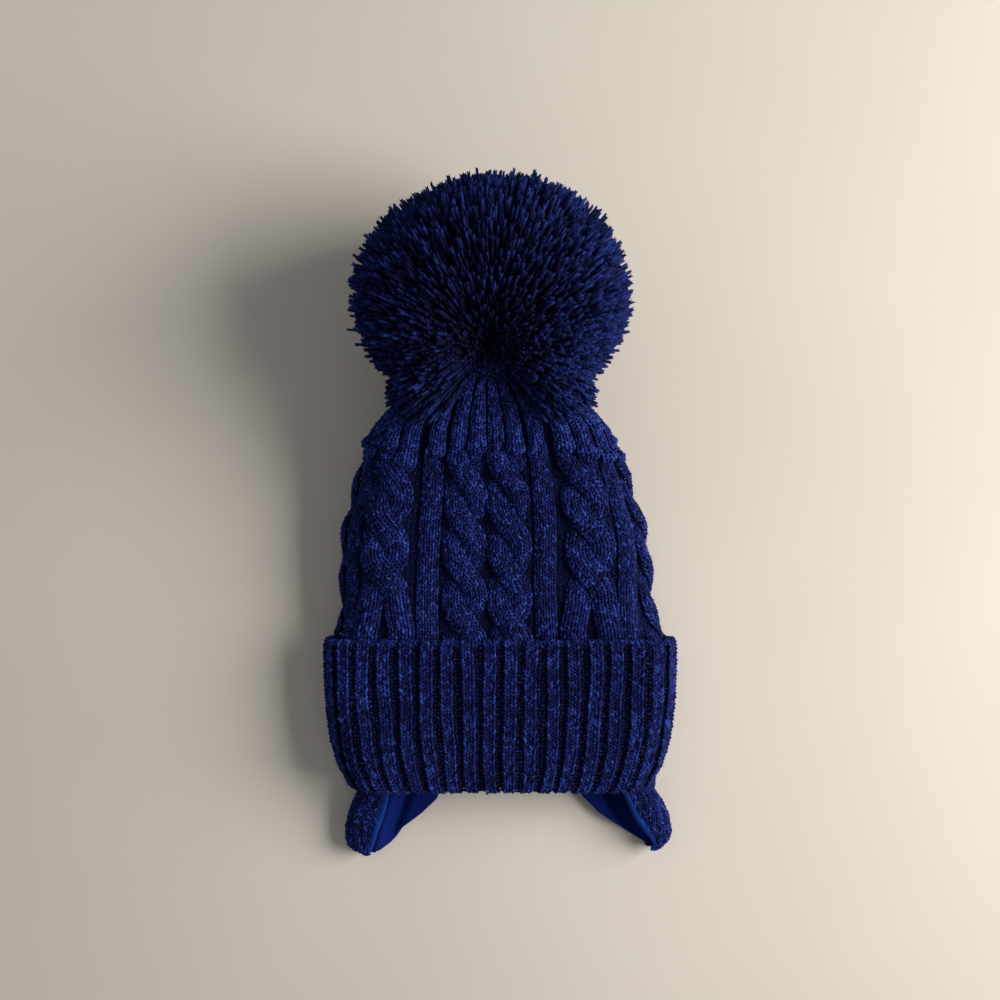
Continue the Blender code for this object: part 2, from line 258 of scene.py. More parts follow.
NAVY_DARK = (0.0011, 0.0018, 0.015)
NAVY = (0.0042, 0.0068, 0.071)
NAVY_LIGHT = (0.034, 0.067, 0.365)
knit_yarn = yarn("knit_yarn", NAVY_DARK, NAVY, NAVY_LIGHT)
# The purl yarn is the knit yarn darkened: painted shade for the sunk purl valleys.
purl_yarn_painted_shade = yarn("purl_yarn_painted_shade", (0.0008, 0.0013, 0.011), (0.0032, 0.0058, 0.050),
                 (0.022, 0.046, 0.220), 0.05)
print("yarn materials:", knit_yarn.name, purl_yarn_painted_shade.name)

# %% [markdown]
# ## From a bmesh to an object
#
# Every piece ends the same way: its bmesh becomes a mesh, gets a finish and is linked to the
# scene. The object stays at the origin, unturned and unscaled, so that a pattern that reads
# Object coordinates stays where it is when the model is exported.

# %% Finished pieces
def settle(bm, name):
    """Turns a bmesh into a mesh and frees it."""
    mesh = bpy.data.meshes.new(name)
    bm.to_mesh(mesh)
    bm.free()
    return mesh


def show(name, mesh, material):
    """Puts a smooth mesh with its finish in the scene."""
    mesh.shade_smooth()
    mesh.materials.append(material)
    piece = bpy.data.objects.new(name, mesh)
    bpy.context.scene.collection.objects.link(piece)
    return piece


# %% [markdown]
# ## One leg of a stitch
#
# A leg could be a bent tube, but at this size the eye only needs a plump grain that is thick
# in the middle and tucked in at both ends. A small sphere does that, six sides round and
# squeezed by its copy's own width and length. It has only three dozen triangles, which
# matters because the hat needs some thirty thousand of them. Stitches that lie deep or on
# the underside make do with two dozen.

# %% Grain shape
def small_shape(name, build):
    """Runs build on a bmesh with a UV map called strand, and keeps the result as a mesh."""
    bm = bmesh.new()
    bm.loops.layers.uv.new("strand")
    build(bm)
    return settle(bm, name)


LEG_BEND = 0.35
QUARTER_TURN = Matrix.Rotation(math.pi / 2, 3, "X")


def grain(bm):
    """A sphere of radius 1 whose poles lie along Y, bent so that both ends dip inward."""
    bmesh.ops.create_uvsphere(bm, u_segments=6, v_segments=4, radius=1.0, calc_uvs=True)
    bmesh.ops.rotate(bm, verts=bm.verts, matrix=QUARTER_TURN)
    for vert in bm.verts:
        vert.co.z -= LEG_BEND * vert.co.y ** 2


def plain_grain(bm):
    """A straight grain with fewer rings."""
    bmesh.ops.create_uvsphere(bm, u_segments=6, v_segments=3, radius=1.0, calc_uvs=True)
    bmesh.ops.rotate(bm, verts=bm.verts, matrix=QUARTER_TURN)


leg_shape = small_shape("leg", grain)
plain_leg_shape = small_shape("plain_leg", plain_grain)
print("faces in one leg:", len(leg_shape.polygons), "or", len(plain_leg_shape.polygons))

# %% [markdown]
# ## Copying a shape thousands of times
#
# Objects that share a mesh would be simple, but ten thousand objects are slow. Instead the
# copies are written into one mesh at once: each copy has a middle and three directions
# (across, along and outward) that are already scaled to its size, and numpy moves all the
# corners in one go. Each copy also gets its shade.

# %% Stamping copies into one mesh
def read(mesh):
    """A small mesh as arrays: corners, the corner of each loop, loops per face and UVs."""
    corners = np.empty(len(mesh.vertices) * 3)
    mesh.vertices.foreach_get("co", corners)
    loops = np.empty(len(mesh.loops), dtype=int)
    mesh.loops.foreach_get("vertex_index", loops)
    counts = np.array([len(p.vertices) for p in mesh.polygons])
    uvs = np.empty(len(mesh.loops) * 2)
    mesh.uv_layers["strand"].data.foreach_get("uv", uvs)
    return corners.reshape(-1, 3), loops, counts, uvs


LOWEST = 0.25
PRESSED_FLAT = 0.06


def put_on_table(places):
    """Presses what would sink into the table flat against it. Heights are in millimetres."""
    z = places[:, 2]
    places[:, 2] = np.where(z < LOWEST, LOWEST + (z - LOWEST) * PRESSED_FLAT, z)
    return places


def stamp(name, shape, middles, across, along, outward, shade, material):
    """One object that holds a copy of shape at each middle. Directions are scaled; all in mm."""
    corners, loops, counts, uvs = read(shape)
    turn = np.stack([across, along, outward], axis=-1)
    places = np.einsum("nij,kj->nki", turn, corners) + middles[:, None, :]
    places = put_on_table(places.reshape(-1, 3)) * MM
    copies = len(middles)
    mesh = bpy.data.meshes.new(name)
    mesh.vertices.add(len(places))
    mesh.vertices.foreach_set("co", places.ravel())
    mesh.loops.add(copies * len(loops))
    shift = np.arange(copies)[:, None] * len(corners)
    mesh.loops.foreach_set("vertex_index", (loops[None, :] + shift).ravel())
    mesh.polygons.add(copies * len(counts))
    starts = np.concatenate([[0], np.cumsum(np.tile(counts, copies))[:-1]])
    mesh.polygons.foreach_set("loop_start", starts)
    mesh.update(calc_edges=True)
    mesh.uv_layers.new(name="strand").data.foreach_set("uv", np.tile(uvs, copies))
    layer = mesh.attributes.new("shade", "FLOAT", "POINT")
    layer.data.foreach_set("value", np.repeat(shade, len(corners)))
    triangles = copies * int((counts - 2).sum())
    print(f"{name}: {copies} copies, {triangles} triangles")
    return show(name, mesh, material)


# %% [markdown]
# ## The surface of the crown, measured
#
# The crown is a soft tube that lies flat, so a slice across it is a stadium: two nearly flat
# sides joined by round ends. Rays cast at the solid crown from above, below, left and right
# give the height, width and middle of each slice. From them comes a grid of points whose
# columns run from the cuff to the gathered top, starting at the seam that runs up the middle
# of the uppermost face. Any stitch is then placed by two numbers: how far along, in
# millimetres, and how far around, from 0 to 1.

# %% Rays at the solid parts
def tree_of(node):
    """A solid part in a form that rays can be cast at, in millimetres."""
    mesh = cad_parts[node].data
    return BVHTree.FromPolygons([v.co / MM for v in mesh.vertices],
                                [p.vertices[:] for p in mesh.polygons])


def cast(tree, start, direction):
    """Where a ray first meets a part, or None."""
    return tree.ray_cast(Vector(start), Vector(direction))[0]


def corners_of(node):
    """The low and the high corner of a part's box, in millimetres."""
    return [np.array(corner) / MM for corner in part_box(node)]


FAR = 300.0
crown_tree = tree_of("crown")
crown_low, crown_high = corners_of("crown")


def slice_of_crown(y):
    """Half width, half height, middle height and middle across of the crown at y."""
    x = float(np.mean([crown_low[0], crown_high[0]]))
    top = cast(crown_tree, (x, y, FAR), (0, 0, -1)).z
    bottom = cast(crown_tree, (x, y, -FAR), (0, 0, 1)).z
    middle = (top + bottom) / 2
    left = cast(crown_tree, (-FAR, y, middle), (1, 0, 0)).x
    right = cast(crown_tree, (FAR, y, middle), (-1, 0, 0)).x
    return (right - left) / 2, (top - bottom) / 2, middle, (right + left) / 2


SEAM_X = float(np.mean([c[0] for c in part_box("crown_seam")])) / MM
CROWN_ROWS = 90
HEM_GAP, GATHER_GAP = 0.4, 0.5
crowded = 1 - (1 - np.linspace(0, 1, CROWN_ROWS)) ** 1.7
crown_run = crown_high[1] - crown_low[1] - (HEM_GAP + GATHER_GAP)
rows_y = crown_low[1] + HEM_GAP + crown_run * crowded
slices = np.array([slice_of_crown(float(y)) for y in rows_y])
print(f"seam at x = {SEAM_X:.1f} mm, crown slices: {len(slices)}")

# %% [markdown]
# Walking round a stadium is a matter of cases: half a flat side, a bend, the other flat side,
# a bend, and the rest of the first side. The upper and lower faces of a real hat aren't quite
# flat, so they are domed a little. Above the cuff the crown is drawn in, because the cuff
# holds it and the seams on either side are taut.

# %% A ring round a slice
def smooth(t):
    """Rises softly from 0 to 1 as t does."""
    t = np.clip(t, 0.0, 1.0)
    return t * t * (3 - 2 * t)


def stadium_ring(half_width, half_height, shares, start):
    """x and z on a stadium at shares of its girth, clockwise from x = start on top."""
    flat = max(half_width - half_height, 0.0)
    girth = 4 * flat + 2 * math.pi * half_height
    a = (np.asarray(shares) * girth + start) % girth
    bend = math.pi * half_height
    x = np.empty_like(a)
    z = np.empty_like(a)
    for low, high, kind in ((0, flat, 0), (flat, flat + bend, 1),
                            (flat + bend, 3 * flat + bend, 2),
                            (3 * flat + bend, 3 * flat + 2 * bend, 3),
                            (3 * flat + 2 * bend, girth, 4)):
        on = (a >= low) & (a < high + 1e-9)
        d = a[on] - low
        if kind in (0, 4):
            x[on], z[on] = (d if kind == 0 else d - flat), half_height
        elif kind == 2:
            x[on], z[on] = flat - d, -half_height
        else:
            side = 1 if kind == 1 else -1
            x[on] = side * (flat + half_height * np.sin(d / half_height))
            z[on] = side * half_height * np.cos(d / half_height)
    return x, z


def surface(points):
    """A grid of points (rows, columns, xyz) with its normals, lengths along and girths."""
    step_along = np.gradient(points, axis=0)
    step_around = (np.roll(points, -1, axis=1) - np.roll(points, 1, axis=1)) / 2
    normal = np.cross(step_around, step_along)
    normal /= np.linalg.norm(normal, axis=2, keepdims=True) + 1e-12
    gaps = np.linalg.norm(np.diff(points, axis=0), axis=2).mean(axis=1)
    girth = np.linalg.norm(np.roll(points, -1, axis=1) - points, axis=2).sum(axis=1)
    return {"points": points, "normal": normal, "girth": girth,
            "along": np.concatenate([[0.0], np.cumsum(gaps)])}


# %% The crown's surface
COLUMNS = 480
DOME = 0.12
DRAWN_IN = 1.6
DRAWN_IN_BELOW_Y = 52.0
DRAWN_IN_OVER = 30.0
shares = np.arange(COLUMNS) / COLUMNS
crown_points = np.empty((CROWN_ROWS, COLUMNS, 3))
for row, (y, (wide, high, middle_z, middle_x)) in enumerate(zip(rows_y, slices)):
    wide = wide - DRAWN_IN * smooth((DRAWN_IN_BELOW_Y - y) / DRAWN_IN_OVER)
    middle_x = middle_x - DRAWN_IN / 2
    x, z = stadium_ring(wide, high, shares, SEAM_X - middle_x)
    flat_share = max(wide - high, 0.0) / wide
    z = z * (1.0 - DOME * (x / wide) ** 2 * flat_share)
    crown_points[row] = np.stack([middle_x + x, np.full(COLUMNS, y), middle_z + z], axis=1)
crown_surface = surface(crown_points)
print(f"crown: {crown_surface['along'][-1]:.0f} mm from hem to gather, "
      f"{crown_surface['girth'][4]:.0f} mm round")

# %% [markdown]
# A stitch rarely falls on a corner of the grid, so places between corners are blended from
# the four around them. The normal tells which way is up from the cloth.

# %% Reading the surface anywhere
def at(cloth, along, around, lift=0.0):
    """Points and normals at lengths along and shares around, raised by lift."""
    rows, columns = cloth["points"].shape[:2]
    row = np.interp(along, cloth["along"], np.arange(rows))
    r0 = np.clip(row.astype(int), 0, rows - 2)
    fr = (row - r0)[..., None]
    column = (np.asarray(around) % 1.0) * columns
    c0 = column.astype(int) % columns
    c1 = (c0 + 1) % columns
    fc = (column - np.floor(column))[..., None]

    def blend(grid):
        near = grid[r0, c0] * (1 - fc) + grid[r0, c1] * fc
        far = grid[r0 + 1, c0] * (1 - fc) + grid[r0 + 1, c1] * fc
        return near * (1 - fr) + far * fr

    normal = blend(cloth["normal"])
    normal /= np.linalg.norm(normal, axis=-1, keepdims=True)
    return blend(cloth["points"]) + normal * np.asarray(lift)[..., None], normal


def along_at_y(cloth, y):
    """The length along at which the grid's first column reaches y."""
    return float(np.interp(y, cloth["points"][:, 0, 1], cloth["along"]))


# %% [markdown]
# ## A wale of stitches
#
# A *wale* is one column of stitches, a *course* one row. On plain knitting each stitch shows
# as a V. Given the path of a wale, its two rows of legs follow: each leg sits a quarter of
# the wale's width from the middle and leans outward by some thirty degrees. Each leg is longer
# than the step between courses, so its tip tucks under the next one and the Vs nest into
# each other as real ones do. The legs of all wales are gathered in a basket and stamped
# together at the end.

# %% Legs along a path
COURSE = 1.78
LEAN = math.radians(31)
LEG_OUT, LEG_TALL, LEG_LONG = 0.235, 0.33, 0.82
OVERLAP = 1.04


def unit(v):
    """Vectors scaled to length one."""
    return v / (np.linalg.norm(v, axis=-1, keepdims=True) + 1e-12)


def new_basket():
    """An empty basket: one list for each thing that stamp needs for its copies."""
    return {key: [] for key in ("middles", "across", "along", "outward", "shade")}


def lay_wale(basket, path, normal, width, tilt=0.0, upside_down=False, grey=0.5):
    """Adds the legs of one wale. path is (n, 3) in mm; width and tilt are one number or n."""
    n = len(path)
    width = np.broadcast_to(np.asarray(width, dtype=float), (n,))[:, None]
    forward = np.gradient(path, axis=0)
    step = np.linalg.norm(forward, axis=1, keepdims=True)
    forward = unit(forward)
    side = unit(np.cross(forward, normal))
    lean_over = np.broadcast_to(np.asarray(tilt, dtype=float), (n,))[:, None]
    normal = unit(normal * np.cos(lean_over) + side * np.sin(lean_over))
    side = unit(np.cross(forward, normal))
    flip = -1.0 if upside_down else 1.0
    for hand in (-1.0, 1.0):
        lean = LEAN * (1 + rng.normal(0, 0.20, (n, 1)))
        direction = unit(forward * np.cos(lean) + side * hand * flip * np.sin(lean))
        facing = unit(normal + side * hand * 0.30 + rng.normal(0, 0.13, (n, 3)))
        over = unit(np.cross(direction, facing))
        wobble = rng.normal(0, 0.085, (n, 3))
        size = 1 + rng.normal(0, 0.11, (n, 1))
        basket["middles"].append(path + side * hand * width * LEG_OUT + wobble)
        basket["across"].append(over * width * LEG_OUT * size)
        basket["along"].append(direction * step * LEG_LONG * size)
        basket["outward"].append(np.cross(over, direction) * width * LEG_TALL * size)
        basket["shade"].append(np.clip(rng.normal(grey, 0.22, n), 0, 1))


def lay_purl(basket, path, normal, width, grey=0.3):
    """Adds a column of purl bumps: short grains that lie across the column, darkened by a low grey
    as painted shade.
    """
    n = len(path)
    forward = unit(np.gradient(path, axis=0))
    side = unit(np.cross(forward, normal))
    side = unit(side + forward * rng.normal(0, 0.35, (n, 1)))
    forward = unit(np.cross(normal, side))
    basket["middles"].append(path + rng.normal(0, 0.24, (n, 3)))
    basket["across"].append(forward * 0.66 * (1 + rng.normal(0, 0.15, (n, 1))))
    basket["along"].append(side * width * 0.52 * (1 + rng.normal(0, 0.18, (n, 1))))
    basket["outward"].append(np.cross(basket["across"][-1], unit(basket["along"][-1])))
    basket["shade"].append(np.clip(rng.normal(grey, 0.15, n), 0, 1))


def joined(basket):
    """A basket with each of its lists joined into one array."""
    return {key: np.concatenate(value) for key, value in basket.items()}


def pour(name, basket, material, shape=leg_shape):
    """Stamps everything in a basket as one piece."""
    return stamp(name, shape, **joined(basket), material=material)


def split_basket(basket, test):
    """Splits a basket in two by a test on the middles, so that no piece grows too heavy."""
    arrays = joined(basket)
    chosen = test(arrays["middles"])
    yes = {key: [value[chosen]] for key, value in arrays.items()}
    no = {key: [value[~chosen]] for key, value in arrays.items()}
    return yes, no


# %% [markdown]
# ## The cables
#
# A cable is two bundles of four wales that change places every two dozen millimetres, always
# the same way round, so the pair looks like a rope. Seen from the front, the upper bundle
# goes from top left to bottom right. A rope is easy to write down: one bundle swings
# sideways like a cosine while it rises and falls like a sine, and the other does the
# opposite. Nine cables go round the crown with a narrow rib between each two, and the seam
# in the middle of the uppermost face has a cable on both sides.
#
# The cables next to the middle pair end at the cuff with their bundles apart, which leaves
# a dark gap like the inside of a letter A.

# %% Where cables and ribs lie around the crown
FIRST_CABLE, NEXT_CABLE, CABLE_PAIRS = 10.4, 38.0, 4
NARROW_CABLE, WIDE_CABLE = 20.8, 23.6
RIB_WIDTH = 10.8
hem_girth = float(crown_surface["girth"][4])
one_side = [FIRST_CABLE + NEXT_CABLE * i for i in range(CABLE_PAIRS)]
cable_places = one_side + [hem_girth / 2] + [hem_girth - place for place in one_side[::-1]]
cable_widths = [WIDE_CABLE] * len(cable_places)
cable_widths[0] = cable_widths[-1] = NARROW_CABLE
CABLES = len(cable_places)
rib_places = []
for place, wide, beyond in zip(one_side, cable_widths, one_side[1:] + [hem_girth / 2]):
    inner, outer = place + wide / 2, beyond - WIDE_CABLE / 2
    rib_places.append(inner + 0.25 * (outer - inner - RIB_WIDTH) + RIB_WIDTH / 2)
rib_places += [hem_girth - place for place in rib_places[::-1]]

CROSSING = 23.4
CABLE_TOP_Y = 34.5
cable_top = along_at_y(crown_surface, CABLE_TOP_Y)
print(f"{CABLES} cables, {len(rib_places)} ribs, crossing every {CROSSING} mm")

# %% [markdown]
# A bundle is four wales side by side. It is arched, so its outer wales lie lower and tilt
# away. Where the bundle crosses over, its stitches turn with it, so each wale is also moved
# along by its share of the slant.

# %% A bundle of wales
def girth_at(along):
    """The crown's girth at lengths along it."""
    return np.interp(along, crown_surface["along"], crown_surface["girth"])


def lay_bundle(basket, along, place, sideways, rise, wales, wide, arch):
    """Lays wales side by side. Their middle starts place mm from the seam at the hem."""
    around = place / hem_girth
    width = wide / wales * (girth_at(along) / hem_girth) ** 0.8
    slope = np.gradient(sideways, along)
    lean = np.arctan(slope)
    reach = wales * width / 2
    for j in range(wales):
        offset = (j - (wales - 1) / 2) * width
        bulge = arch * (1 - (offset / reach) ** 2)
        s = along - offset * np.sin(lean)
        u = around + (sideways + offset * np.cos(lean)) / girth_at(s)
        path, normal = at(crown_surface, s, u, rise + bulge)
        tilt = np.arctan(2 * arch * offset / reach ** 2)
        lay_wale(basket, path, normal, width * OVERLAP, tilt)


# %% [markdown]
# Each of the two strands of a cable is one bundle. The cosine is squared off a little, so a
# strand runs straight between two crossings. The strands end at the foot of the top ribs.

# %% Laying the cables
STRAND_SINK, STRAND_SWELL, STRAND_ARCH = 1.45, 1.80, 1.9
OPENING, OPENING_RUN = 2.8, 16.0
OPEN_CABLES = (1, CABLES - 2)
crown_stitches = new_basket()
for i, (place, wide) in enumerate(zip(cable_places, cable_widths)):
    s = np.arange(0.0, cable_top + 3.0, COURSE * 0.94)
    turn = np.minimum(-math.pi * (cable_top - s) / CROSSING, 0.0)
    spread = np.zeros_like(s)
    if i in OPEN_CABLES:
        turn = np.maximum(turn, -3 * math.pi)
        spread = np.clip((cable_top - 3 * CROSSING - s) / OPENING_RUN, 0, 1) ** 1.2
    for hand in (-1.0, 1.0):
        swing = hand * np.cos(turn)
        swing = swing * (1.18 - 0.18 * swing ** 2)
        sideways = swing * (wide / 4 + OPENING * spread) * girth_at(s) / hem_girth
        rise = -STRAND_SINK + STRAND_SWELL * hand * np.sin(turn)
        rise = rise - 1.3 * np.clip((s - cable_top) / 3.0, 0, 1)
        lay_bundle(crown_stitches, s, place, sideways, rise, 4, wide * 0.52, STRAND_ARCH)

# %% [markdown]
# ## The ribs between the cables, and the gathered top
#
# Between two cables stands a rib of four wales with a sunken purl column on each side.
# Where the cables end, every bundle turns into a rib of its own. All of them run up to the
# gather, closing together like the sticks of a fan, and lose a wale on the way because the
# knitter takes stitches off. Each one starts with a knob where the cable lets it go.

# %% Ribs between the cables
RIB_SINK, RIB_ARCH = 1.6, 1.3
rib_stitches = new_basket()
for place in rib_places:
    s = np.arange(0.0, cable_top + 1.0, COURSE)
    sway = 0.5 * np.sin(s / 13.0 + place)
    lay_bundle(rib_stitches, s, place, sway, np.full_like(s, -RIB_SINK), 4, RIB_WIDTH * 0.95,
               RIB_ARCH)

# %% [markdown]
# A top rib gets as much room as its share of the girth, which shrinks towards the gather.
# Once three wales would be too narrow to knit, two wider ones go on alone. The knob is a short
# swelling just above the rib's foot, and the foot itself curls inward.

# %% Ribs of the gathered top
KNOB, KNOB_AT, KNOB_LONG = 2.1, 3.6, 3.0
NARROWEST_OF_THREE, WIDEST_WALE = 1.75, 2.9
# The top ribs get a lighter grey than the other stitches: painted light against the pom-pom's
# shadow over them.
TOP_SINK, TOP_ARCH, TOP_RIBS_PAINTED_LIGHT = 1.0, 1.9, 0.64


def lay_top_rib(basket, place, start, wide):
    """One rib of the gathered top, three wales and then two, with a knob at its lower end."""
    around, share = place / hem_girth, wide / hem_girth
    s = np.arange(start, crown_surface["along"][-1], COURSE)
    room = girth_at(s) * share
    past = s - start
    swelling = np.exp(-((past - KNOB_AT) / KNOB_LONG) ** 2)
    knob = KNOB * swelling - 1.5 * np.exp(-(past / 1.3) ** 2)
    rise = -TOP_SINK + knob - 0.9 * np.clip((past - past[-1] + 16) / 16, 0, 1)
    fat = 1 + 0.20 * swelling - 0.25 * np.exp(-(past / 1.6) ** 2)
    few = room / 3 < NARROWEST_OF_THREE
    for j, stays in ((-1, True), (0, True), (1, False)):
        use = np.ones_like(s, dtype=bool) if stays else ~few
        if use.sum() < 3:
            continue
        width = np.where(few, room * 0.44, np.minimum(room / 3, WIDEST_WALE)) * fat
        offset = np.where(few, (j + 0.5) * width, j * width)[use]
        width = width[use]
        bulge = TOP_ARCH * (1 - (offset / (1.5 * width)) ** 2)
        path, normal = at(crown_surface, s[use], around + offset / girth_at(s[use]),
                          rise[use] + bulge)
        lay_wale(basket, path, normal, width * OVERLAP, offset / width * 0.5, grey=TOP_RIBS_PAINTED_LIGHT)


STAGGER = 3.2
top_stitches = new_basket()
for i, (place, wide) in enumerate(zip(cable_places, cable_widths)):
    for hand in (-1, 1):
        stagger = STAGGER * hand * (-1) ** i + rng.uniform(-2.0, 2.0)
        lay_top_rib(top_stitches, place + hand * wide / 4, cable_top - 2.5 + stagger, wide * 0.44)
for place in rib_places:
    lay_top_rib(top_stitches, place, cable_top - rng.uniform(-1.0, 6.0), RIB_WIDTH * 0.84)

# %% [markdown]
# The valleys beside the ribs are knitted purl: from the front, a purl stitch is a short bump
# that lies across its column. They are sunk, darker with painted shade, and fill what the ribs
# leave free.

# %% Purl columns
PURL_WALE, PURL_SINK = 2.4, 2.3
purl_stitches = new_basket()
for place, wide, rib, beyond, next_wide in zip(cable_places, cable_widths, rib_places,
                                               cable_places[1:], cable_widths[1:]):
    for column in np.arange(place + wide / 2 - 1.0, beyond - next_wide / 2 + 1.5, PURL_WALE):
        if abs(column - rib) < RIB_WIDTH * 0.42:
            continue
        s = np.arange(0.0, cable_top + 6.0, COURSE)
        path, normal = at(crown_surface, s, np.full_like(s, column / hem_girth),
                          np.full_like(s, -PURL_SINK))
        lay_purl(purl_stitches, path, normal, PURL_WALE)

# %% [markdown]
# The baskets are now stamped. The cables are too many for one piece, so the upper and the
# lower face of the hat are a piece each, and the lower one takes the plainer leg.

# %% The crown's knitting
front, back = split_basket(crown_stitches, lambda m: m[:, 2] > np.interp(
    m[:, 1], rows_y, slices[:, 2]))
crown_pieces = [pour("crown_cables_front", front, knit_yarn),
                pour("crown_cables_back", back, knit_yarn, plain_leg_shape),
                pour("crown_ribs", rib_stitches, knit_yarn),
                pour("crown_top_ribs", top_stitches, knit_yarn),
                pour("crown_purls", purl_stitches, purl_yarn_painted_shade, plain_leg_shape)]

# %% [markdown]
# ## Under the stitches
#
# Knitting isn't a solid wall, but it lets no light through at this thickness. A plain sheet
# just under the stitches closes the small gaps between them. Its nearly black colour is
# painted shade at the bottom of each valley. It is made by an extrusion from ring to ring,
# with a wall from the Solidify modifier.

# %% Cloth from rings
def ring_mesh(bm, points, closed=True):
    """Corners at points with edges from each to the next, and round to the first if closed."""
    verts = [bm.verts.new(p) for p in points]
    pairs = list(zip(verts, verts[1:])) + ([(verts[-1], verts[0])] if closed else [])
    return verts, [bm.edges.new(pair) for pair in pairs]


def extrude_to(bm, verts, edges, points):
    """Extrudes a ring and moves its new corners to points."""
    made = bmesh.ops.extrude_edge_only(bm, edges=edges)["geom"]
    new = {v for v in made if isinstance(v, bmesh.types.BMVert)}
    moved = []
    for old, place in zip(verts, points):
        twin = next(e.other_vert(old) for e in old.link_edges if e.other_vert(old) in new)
        twin.co = place
        moved.append(twin)
    return moved, [e for e in made if isinstance(e, bmesh.types.BMEdge)
                   and e.verts[0] in new and e.verts[1] in new]


def cloth_from(name, grid, material, wall, closed=True, inward_from=None):
    """A cloth through the rows of a grid in mm, its wall on the side away from its normals."""
    bm = bmesh.new()
    rows = [[Vector(p * MM) for p in row] for row in grid]
    verts, edges = ring_mesh(bm, rows[0], closed)
    for points in rows[1:]:
        verts, edges = extrude_to(bm, verts, edges, points)
    bmesh.ops.recalc_face_normals(bm, faces=bm.faces)
    centre = Vector(inward_from) * MM if inward_from is not None else sum(
        (v.co for v in bm.verts), Vector()) / len(bm.verts)
    facing = sum((f.calc_center_median() - centre).dot(f.normal) * f.calc_area()
                 for f in bm.faces)
    if facing < 0:
        bmesh.ops.reverse_faces(bm, faces=bm.faces)
    mesh = settle(bm, name)
    piece = show(name, mesh, material)
    solid = piece.modifiers.new("wall", "SOLIDIFY")
    solid.thickness = wall * MM
    solid.offset = -1.0
    print(f"{name}: {len(mesh.polygons)} faces")
    return piece


# %% [markdown]
# The backing is nearly black blue with a fine mottle, as the far side of loops looks in
# shade. It ends a few millimetres short of the gather, which leaves the tie its room.

# %% The crown's backing
def painted_shade_backing_material():
    """Dark with painted shade, mottled and quite rough."""
    material, tree, shader = finish("knit_backing_painted_shade", 0.95, 0.1, (0.3, 0.45, 1.0), 0.1)
    where = add(tree, "TexCoord").outputs["Object"]
    loops = noise(tree, where, 650.0, 2.0)
    dress(tree, shader, ramp(tree, loops, [(0.3, (0.0010, 0.0020, 0.012)),
                                           (0.7, (0.0028, 0.006, 0.036))]),
          bump(tree, loops, 0.0006, 0.8))
    return material


BACKING_COLUMNS, BACKING_SINK, BACKING_LOWEST = 120, 2.3, 0.6


def under_stitches(cloth, end, rows):
    """A grid of points under the stitches of a surface, from its hem to a length along it."""
    around = np.arange(BACKING_COLUMNS) / BACKING_COLUMNS
    same = np.ones(BACKING_COLUMNS)
    grid = np.stack([at(cloth, same * s, around, same * -BACKING_SINK)[0]
                     for s in np.linspace(0.0, end, rows)])
    grid[:, :, 2] = np.maximum(grid[:, :, 2], BACKING_LOWEST)
    return grid


backing = painted_shade_backing_material()
crown_backing = cloth_from("crown_backing",
                           under_stitches(crown_surface, crown_surface["along"][-1] - 8.0, 60),
                           backing, 0.6)
crown_pieces.append(crown_backing)

# %% [markdown]
# ## The cuff
#
# The cuff is ribbing knitted two and two: two wales stand out, two purl columns sink in, all
# the way round. It is the lower edge of the hat turned up on the outside, so its Vs point
# the other way from those of the crown. The surface starts at the hem, runs down the
# outer face, round the fold at the mouth and a little way up the inside. Ribs are laid along
# it in the same way as cables, only straight.

# %% The cuff's surface, measured
cuff_tree = tree_of("ribbed_cuff")
cuff_low, cuff_high = corners_of("ribbed_cuff")
cuff_middle = (cuff_low[2] + cuff_high[2]) / 2
cuff_half = (cuff_high[2] - cuff_low[2]) / 2
inner_face = cast(cuff_tree, (0, (cuff_low[1] + cuff_high[1]) / 2, cuff_middle), (0, 0, 1)).z
wall_depth = cuff_high[2] - inner_face
fold_radius = wall_depth / 2
fold_start = cuff_low[1] + fold_radius


def cuff_flat_half(y):
    """Half the flat length of the cuff's section at y; past the fold's start it is drawn on."""
    def measured(at_y):
        return cast(cuff_tree, (FAR, at_y, cuff_middle), (-1, 0, 0)).x - cuff_half

    if y > fold_start + 0.2:
        return measured(y)
    edge, before = measured(fold_start + 0.2), measured(fold_start + 4.2)
    return edge + (edge - before) * (fold_start + 0.2 - y) / 4.0


OUTER_ROWS, FOLD_ROWS, INNER_ROWS = 34, 12, 8
INNER_RUN = 14.0
profile = [(0.9, cuff_high[1] - 0.1), (0.25, cuff_high[1] - 0.9)]
profile += [(0.0, float(y)) for y in np.linspace(cuff_high[1] - 2.5, fold_start, OUTER_ROWS)]
profile += [(fold_radius * (1 - math.cos(a)), fold_start - fold_radius * math.sin(a))
            for a in np.linspace(0.15, math.pi - 0.15, FOLD_ROWS)]
profile += [(wall_depth, float(y))
            for y in np.linspace(fold_start + 0.5, fold_start + INNER_RUN, INNER_ROWS)]
cuff_points = np.empty((len(profile), COLUMNS, 3))
for row, (depth, y) in enumerate(profile):
    flat = cuff_flat_half(y)
    x, z = stadium_ring(flat + cuff_half - depth, cuff_half - depth, shares, 0.0)
    cuff_points[row] = np.stack([x, np.full(COLUMNS, y), cuff_middle + z], axis=1)
cuff_surface = surface(cuff_points)
if cuff_surface["normal"][10, 0, 2] < 0:
    cuff_surface["normal"] *= -1
print(f"cuff: wall {wall_depth:.1f} mm, {cuff_surface['girth'][5]:.0f} mm round")

# %% [markdown]
# Ribbing is never quite even: ribs wander sideways, differ in width by a few hundredths and
# swell where the cuff folds. A few slow waves and small random numbers for each rib do that.

